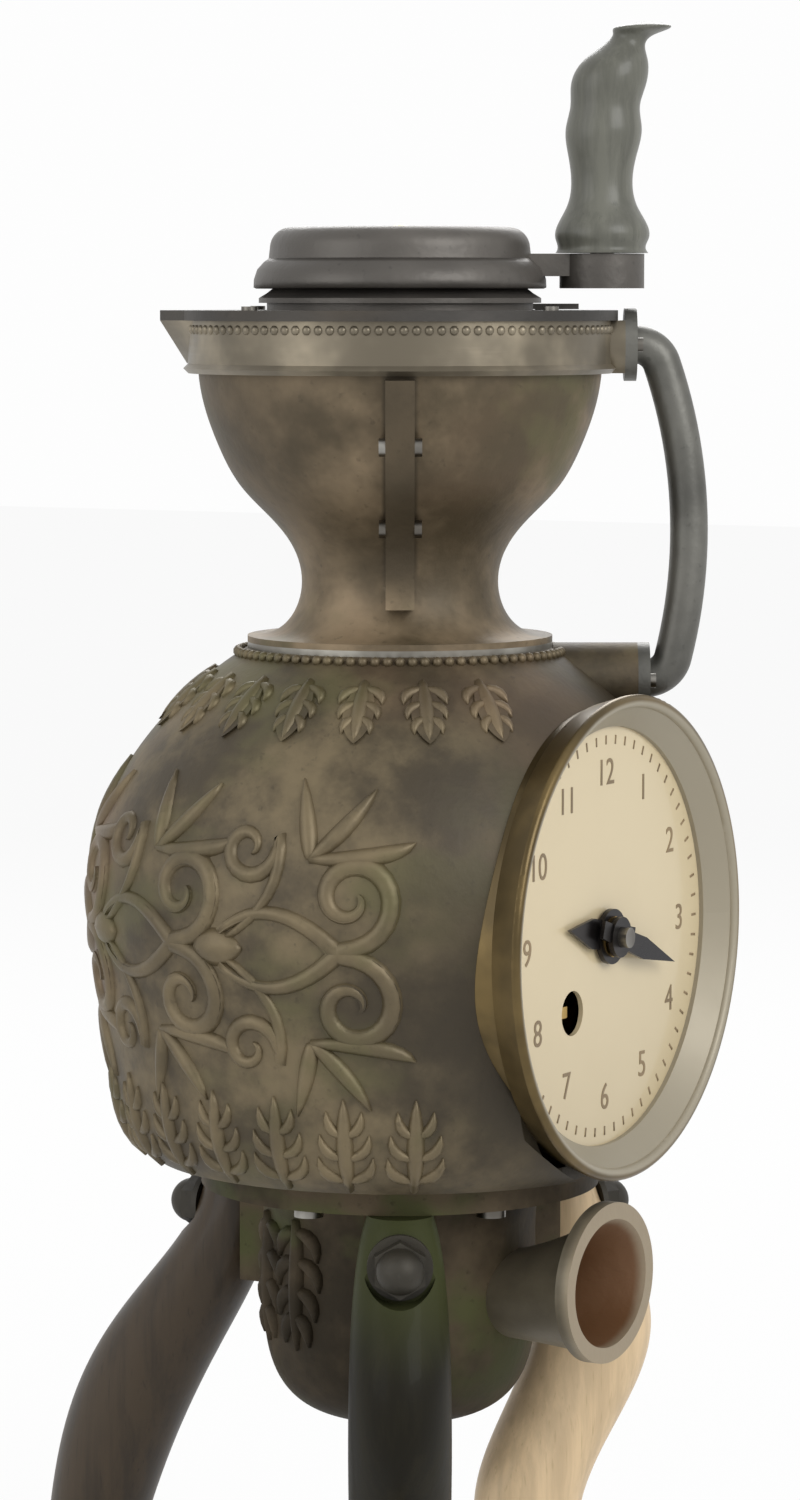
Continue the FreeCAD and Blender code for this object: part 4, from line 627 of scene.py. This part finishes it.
def arc(start, bulge, end, steps=10):
    """A bent line through a middle control point."""
    points = []
    for i in range(steps + 1):
        t = i / steps
        points.append(tuple((1 - t) ** 2 * s + 2 * t * (1 - t) * b + t * t * e
                            for s, b, e in zip(start, bulge, end)))
    return points


def scroll_motif(bm, skin, wide, high):
    """Two big and two small curls on their stems, and six sharp leaves, grown from one bud."""
    for way in (-1, 1):
        def on(point, way=way):
            return (point[0], point[1] * way)
        for (centre, first_r, last_r, start, turns), (root, bend), curl_steps, stem_steps, width, height in (
                (BIG_CURL, BIG_STEM, 30, 12, wide, high),
                (SMALL_CURL, SMALL_STEM, 22, 8, wide * 0.8, high * 0.9)):
            curl = spiral(on(centre), first_r, last_r, start * way, turns * way, curl_steps)
            stem = arc(on(root), on(bend), curl[0], stem_steps)[:-1]
            raised_line(bm, skin, stem + curl, width, height)
        for bend, tip in SHARP_LEAVES:
            raised_line(bm, skin, arc(on(SHARP_ROOT), on(bend), on(tip), 8), wide * 0.9, high)
    raised_line(bm, skin, arc(*BUD), wide * 1.9, high * 1.25)


def leaf_motif(bm, skin, tall, way, wide, high):
    """A small leaf that points up or down: a middle rib and three sprigs on each side."""
    raised_line(bm, skin, arc((0, -tall * way), (0, 0), (0, tall * way), 8), wide * 0.9, high)
    for side in (-1, 1):
        for level, reach in SPRIGS:
            out = side * tall * reach
            path = arc((0, tall * level * way), (out, tall * level * way),
                       (out, tall * (level + SPRIG_RISE) * way), 5)
            raised_line(bm, skin, path, wide * 0.6, high * 0.8)


class MILL_OT_castings(bpy.types.Operator):
    """Finish the globe, hopper, lid, bowl, chute and side handle as old castings"""
    bl_idname = "mill.castings"
    bl_label = "Castings"

    def execute(self, context):
        c = context.scene.mill_colours
        # The globe is darkened round the dial's case by painted shade.
        globe = casting("olive_casting", c.globe, c.globe_hollow, c.globe_stain, stain_share=0.8, moss=c.moss,
                        painted_shade=dial_dirt, clouds=38.0)
        paint(globe, "globe_body")
        # The relief and the shoulder's beads take this finish by its name
        casting("rubbed_casting", shade(c.globe, 1.05), shade(c.globe, 0.62), c.globe_stain, metallic=0.45,
                roughness=0.48, moss=c.moss, clouds=38.0)
        # The hopper takes painted shade on its left side and along its seam.
        hopper = casting("brown_casting", c.hopper, c.hopper_hollow, c.globe_stain, stain_share=0.7,
                         moss=c.moss, painted_shade=hopper_dirt)
        paint(hopper, "hopper_handle_half", "hopper_lip_half")
        # The bowl is darkened towards its bottom by painted shade.
        green = casting("green_casting", shade(c.hopper, 0.38), shade(c.hopper_hollow, 0.33), c.patina,
                        metallic=0.2, roughness=0.65, stain_share=0.9, moss=shade(c.patina, 0.95),
                        painted_shade=bowl_dirt, shine=0.2)
        paint(green, "lower_bowl", "bowl_plate")
        grey = casting("grey_casting", c.lid, shade(c.lid, 0.62), shade(c.lid, 1.2), metallic=0.5,
                       roughness=0.45)
        paint(grey, "lid_drum", "crank_arm", "fill_shutter", "pinion_bracket")
        brim = casting("brim_casting", shade(c.lid, 0.5), shade(c.lid, 0.3), shade(c.hopper, 0.45),
                       metallic=0.4)
        paint(brim, "lid_plate")
        chute = chute_casting("chute_casting", c.chute, shade(c.chute, 0.6), c.chute_inside,
                              CHUTE_LIP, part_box("discharge_chute")[1][0])
        paint(chute, "discharge_chute")
        bar = casting("dark_casting", c.bar, shade(c.bar, 0.5), c.lid, metallic=0.5, roughness=0.42)
        paint(bar, "c_handle")
        black = casting("black_casting", *BLACK_IRON, metallic=0.4)
        paint(black, "foot_pads", "leg_bolts")
        return {"FINISHED"}


class MILL_OT_metalwork(bpy.types.Operator):
    """Finish the brass, steel and tinned pieces"""
    bl_idname = "mill.metalwork"
    bl_label = "Brass and steel"

    def execute(self, context):
        c = context.scene.mill_colours
        band = worn_metal("bright_band", shade(c.band, 1.05), shade(c.band, 0.5), roughness=0.4, metallic=0.6)
        paint(band, "rim_band")
        ring = worn_metal("dark_brass", c.ring, shade(c.ring, 0.42), roughness=0.36, metallic=0.7,
                          brush=(700.0, 60.0, 60.0))
        paint(ring, "dial_case", "adjusting_nut")
        # The bezel's pale inner slope is a painted highlight.
        paint(dial_ring("dial_ring", c.ring, c.ring_slope), "bezel")
        brass = worn_metal("turned_brass", *BRASS, roughness=0.3, metallic=1.0)
        paint(brass, "lower_bush", "tray_bush", "upper_bush", "arbor_bush", "mitre_pinion", "mitre_wheel",
              "train_pillars", "train_plate", "cannon_pinion", "side_wheel", "hour_wheel", "crank_nut")
        steel = worn_metal("plain_steel", *STEEL, roughness=0.34, metallic=1.0)
        paint(steel, "spindle", "thrust_pin", "cone_burr", "ring_burr", "sweeper", "dial_arbor", "grip_pin",
              "bowl_screws", "nut_screws", "bracket_screws", "train_screws", "seam_screws", "lid_screws",
              "handle_screws")
        blued = worn_metal("blued_steel", *BLUED, roughness=0.3, metallic=0.8)
        paint(blued, "short_hand", "long_hand")
        tin = worn_metal("tinned_sheet", *TIN, roughness=0.4, metallic=0.9)
        paint(tin, "grounds_tray", "grounds_duct")
        return {"FINISHED"}


class MILL_OT_woodwork(bpy.types.Operator):
    """Finish the three legs and the grip as waxed wood"""
    bl_idname = "mill.woodwork"
    bl_label = "Legs and grip"

    def execute(self, context):
        c = context.scene.mill_colours
        paint(timber("brown_wood", c.wood, shade(c.wood, 0.6), shade(c.wood, 0.35)), "rear_leg")
        green_head = (shade(c.patina, 0.6), 0.108, 0.138)
        # The right front leg's near-black wood is painted shade.
        paint(timber("dark_wood", c.wood_dark, shade(c.wood_dark, 0.6), shade(c.wood_dark, 0.4),
                     roughness=0.55, shine=0.12, head=green_head), "front_leg_right")
        paint(timber("pale_wood", c.wood_pale, shade(c.wood_pale, 0.78), PALE_PORES),
              "front_leg_left")
        paint(timber("grip_wood", c.grip, shade(c.grip, 0.68), shade(c.grip, 0.45), roughness=0.36),
              "grip")
        return {"FINISHED"}


class MILL_OT_dial_face(bpy.types.Operator):
    """Enamel the dial and lay its numbers and ticks"""
    bl_idname = "mill.dial_face"
    bl_label = "Dial face"

    def execute(self, context):
        c, s = context.scene.mill_colours, context.scene.mill_sizes
        paint(enamel("cream_enamel", c.face, c.face_aged), "dial_plate")
        ink = worn_metal("fired_print", c.ink, shade(c.ink, 0.7), roughness=0.5, metallic=0.0)
        upright = Matrix(((0, 0, 1, 0), (1, 0, 0, 0), (0, 1, 0, DIAL_AXIS_Z), (0, 0, 0, 1)))
        to_face = Matrix.Translation((DIAL_FACE_X, 0, 0)) @ upright
        numbers = bmesh.new()
        for hour in range(1, 13):
            letters = bpy.data.curves.new("number", "FONT")
            letters.body = str(hour)
            letters.size = s.number_size
            letters.extrude = s.print_height
            letters.align_x, letters.align_y = "CENTER", "CENTER"
            holder = bpy.data.objects.new("number", letters)
            mesh = bpy.data.meshes.new_from_object(holder)
            angle = math.radians(90 - 30 * hour)
            mesh.transform(Matrix.Translation((s.number_circle * math.cos(angle),
                                               s.number_circle * math.sin(angle), 0)))
            numbers.from_mesh(mesh)
            bpy.data.objects.remove(holder)
            bpy.data.curves.remove(letters)
            bpy.data.meshes.remove(mesh)
        numbers.transform(to_face)
        piece = new_piece("dial_numbers", numbers, ink)
        finish_piece(piece)
        tick = bmesh.new()
        bmesh.ops.create_cube(tick, size=1.0)
        bmesh.ops.scale(tick, verts=tick.verts, vec=(*TICK_SIZE, 2 * s.print_height))
        bmesh.ops.translate(tick, verts=tick.verts, vec=(s.tick_circle, 0, 0))
        ticks = repeat(new_piece("dial_ticks", tick, ink), TICKS, 0.0, 360.0 / TICKS, ink)
        ticks.data.transform(to_face)
        finish_piece(ticks)
        return {"FINISHED"}


class MILL_OT_globe_relief(bpy.types.Operator):
    """Cast scrolls and leaves that stand out of the globe"""
    bl_idname = "mill.globe_relief"
    bl_label = "Globe relief"

    def execute(self, context):
        s = context.scene.mill_sizes
        metal = bpy.data.materials["rubbed_casting"]
        wide, high = s.relief_width, s.relief_height
        foot_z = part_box("globe_body")[0][2]
        bm = bmesh.new()
        scroll_motif(bm, Skin("globe_body", FREE_ANGLE, DIAL_AXIS_Z + SCROLL_RISE), wide, high)
        scrolls = new_piece("belly_scrolls", bm, metal)
        first = 180.0 - SCROLL_STEP * (s.belly_scrolls - 1) / 2
        repeat(scrolls, s.belly_scrolls, first, SCROLL_STEP, metal)
        finish_piece(scrolls)
        # Name, middle height, half length, count, way that the tip points, first and last direction
        rows = (("shoulder_leaves", GLOBE_TOP_Z - 0.012, 0.0095, s.shoulder_leaves, -1, (48.0, 324.0)),
                ("foot_leaves", foot_z + 0.013, 0.012, s.foot_leaves, 1, (57.0, 303.0)))
        for name, z, tall, count, way, (first, last) in rows:
            bm = bmesh.new()
            leaf_motif(bm, Skin("globe_body", FREE_ANGLE, z), tall, way, wide, high)
            leaves = new_piece(name, bm, metal)
            repeat(leaves, count, first, (last - first) / (count - 1), metal)
            finish_piece(leaves)
        return {"FINISHED"}


class MILL_OT_bowl_leaves(bpy.types.Operator):
    """Long cast leaves on the lower bowl, between the lugs of the legs"""
    bl_idname = "mill.bowl_leaves"
    bl_label = "Bowl leaves"

    def execute(self, context):
        s = context.scene.mill_sizes
        metal = bpy.data.materials["green_casting"]
        low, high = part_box("lower_bowl")
        free_angle, pair_angle, first_angle, side_angle = 120, 24.0, 108.0, 120
        skin = Skin("lower_bowl", free_angle, low[2] + 0.62 * (high[2] - low[2]))
        bm = bmesh.new()
        tall, wide = 0.0165, s.relief_width
        raised_line(bm, skin, arc((0, tall), (0, 0), (0, -tall), 10), wide, s.relief_height * 1.3)
        for side in (-1, 1):
            for level, reach in LONG_SPRIGS:
                out = side * tall * reach
                path = arc((0, tall * level), (out, tall * level), (out, tall * (level - LONG_SPRIG_DROP)), 6)
                raised_line(bm, skin, path, wide * 0.85, s.relief_height * 1.1)
        leaves = new_piece("bowl_leaves", bm, metal)
        repeat(leaves, 2, first_angle, pair_angle, metal)
        second = leaves.copy()
        second.data = leaves.data.copy()
        second.name = "bowl_leaves_right"
        second.data.transform(Matrix.Rotation(math.radians(side_angle), 4, "Z"))
        context.scene.collection.objects.link(second)
        finish_piece(leaves)
        finish_piece(second)
        return {"FINISHED"}


class MILL_OT_bead_rows(bpy.types.Operator):
    """Rows of cast beads round the globe's shoulder and the rim band"""
    bl_idname = "mill.bead_rows"
    bl_label = "Bead rows"

    def execute(self, context):
        size = context.scene.mill_sizes.bead_radius
        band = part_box("rim_band")
        shoulder_z = GLOBE_TOP_Z - 0.0015
        shoulder_r = Skin("globe_body", FREE_ANGLE, shoulder_z).radius(shoulder_z)
        band_r, band_z = -band[0][0] - 0.0016, band[1][2] - 0.0022
        rows = (("shoulder_beads", shoulder_r, GLOBE_TOP_Z - 0.0010, SHOULDER_BEADS, "rubbed_casting",
                 "iron_olive"),
                ("band_beads", band_r, band_z, BAND_BEADS, "bright_band", "pewter"))
        for name, radius, z, count, finish, slot in rows:
            material = bpy.data.materials[finish]
            bm = bmesh.new()
            bmesh.ops.create_uvsphere(bm, u_segments=8, v_segments=5, radius=size)
            bmesh.ops.translate(bm, verts=bm.verts, vec=(radius, 0, z))
            beads = new_piece(name, bm, material)
            repeat(beads, count, 0.0, 360.0 / count, material)
            finish_piece(beads)
        return {"FINISHED"}


class MILL_OT_cap_rim(bpy.types.Operator):
    """Rolled rim round the foot of the crank's cap, which hides the gap above the lid's drum"""
    bl_idname = "mill.cap_rim"
    bl_label = "Cap rim"

    def execute(self, context):
        drum_r, cap_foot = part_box("lid_drum")[1][0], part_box("lid_drum")[1][2] + CAP_GAP
        profile = [(drum_r + out, cap_foot + up) for out, up in RIM_PROFILE]
        bm = bmesh.new()
        rows = []
        for k in range(RIM_SIDES):
            turn = 2 * math.pi * k / RIM_SIDES
            rows.append([bm.verts.new((r * math.cos(turn), r * math.sin(turn), z)) for r, z in profile])
        count = len(profile)
        for first, second in zip(rows, rows[1:] + rows[:1]):
            for k in range(count):
                bm.faces.new((first[k], first[(k + 1) % count], second[(k + 1) % count], second[k]))
        piece = new_piece("cap_rim", bm, bpy.data.materials["grey_casting"])
        finish_piece(piece, "crank")
        return {"FINISHED"}


class MILL_OT_stage(bpy.types.Operator):
    """Pale floor, soft lamps and the camera"""
    bl_idname = "mill.stage"
    bl_label = "Stage"

    def execute(self, context):
        scene = context.scene
        scene.view_settings.view_transform = "Standard"
        bm = bmesh.new()
        bmesh.ops.create_grid(bm, x_segments=1, y_segments=1, size=FLOOR_HALF)
        floor = new_piece("floor", bm, plain_white("studio_paper", PAPER_GLOW))
        world = bpy.data.worlds.new("studio")
        scene.world = world
        world.use_nodes = True
        tree = world.node_tree
        sky = tree.nodes["Background"]
        strength = tree.nodes.new("ShaderNodeMapRange")
        strength.inputs["To Min"].default_value = SKY_LIGHT
        strength.inputs["To Max"].default_value = SKY_SEEN
        tree.links.new(background_rays(tree), strength.inputs["Value"])
        sky.inputs["Color"].default_value = (1.0, 1.0, 1.0, 1.0)
        tree.links.new(strength.outputs["Result"], sky.inputs["Strength"])
        for name, place, size, power in LAMPS:
            lamp = bpy.data.lights.new(name, "AREA")
            lamp.size = size
            lamp.energy = power
            holder = bpy.data.objects.new(name, lamp)
            holder.location = place
            holder.rotation_euler = (VIEW_MIDDLE - Vector(place)).to_track_quat("-Z", "Y").to_euler()
            scene.collection.objects.link(holder)
        lens = bpy.data.cameras.new("camera")
        camera = bpy.data.objects.new("camera", lens)
        camera.location = (CAMERA_AWAY * math.sin(CAMERA_TURN), -CAMERA_AWAY * math.cos(CAMERA_TURN),
                           CAMERA_Z)
        sight = VIEW_MIDDLE - camera.location
        camera.rotation_euler = sight.to_track_quat("-Z", "Y").to_euler()
        lens.sensor_fit = "VERTICAL"
        lens.angle = 2 * math.atan(VIEW_HALF_HEIGHT / sight.length)
        lens.clip_start = 0.01
        scene.collection.objects.link(camera)
        scene.camera = camera
        return {"FINISHED"}


STEPS = (MILL_OT_castings, MILL_OT_metalwork, MILL_OT_woodwork, MILL_OT_dial_face, MILL_OT_globe_relief,
         MILL_OT_bowl_leaves, MILL_OT_bead_rows, MILL_OT_cap_rim, MILL_OT_stage)


class MILL_PT_dresser(bpy.types.Panel):
    """Lists the steps that dress the mill"""
    bl_label = "Coffee mill"
    bl_idname = "MILL_PT_dresser"
    bl_space_type = "VIEW_3D"
    bl_region_type = "UI"
    bl_category = "Mill"

    def draw(self, context):
        for step in STEPS:
            self.layout.operator(step.bl_idname)
        for group in (context.scene.mill_sizes, context.scene.mill_colours):
            for name in group.__annotations__:
                self.layout.prop(group, name)


CLASSES = (MillSizes, MillColours) + STEPS + (MILL_PT_dresser,)


def register():
    for item in CLASSES:
        bpy.utils.register_class(item)
    bpy.types.Scene.mill_sizes = bpy.props.PointerProperty(type=MillSizes)
    bpy.types.Scene.mill_colours = bpy.props.PointerProperty(type=MillColours)


def unregister():
    del bpy.types.Scene.mill_colours
    del bpy.types.Scene.mill_sizes
    for item in reversed(CLASSES):
        bpy.utils.unregister_class(item)


def main():
    register()
    bpy.ops.mill.castings()
    bpy.ops.mill.metalwork()
    bpy.ops.mill.woodwork()
    bpy.ops.mill.dial_face()
    bpy.ops.mill.globe_relief()
    bpy.ops.mill.bowl_leaves()
    bpy.ops.mill.bead_rows()
    bpy.ops.mill.cap_rim()
    bpy.ops.mill.stage()


if __name__ == "__main__":
    main()
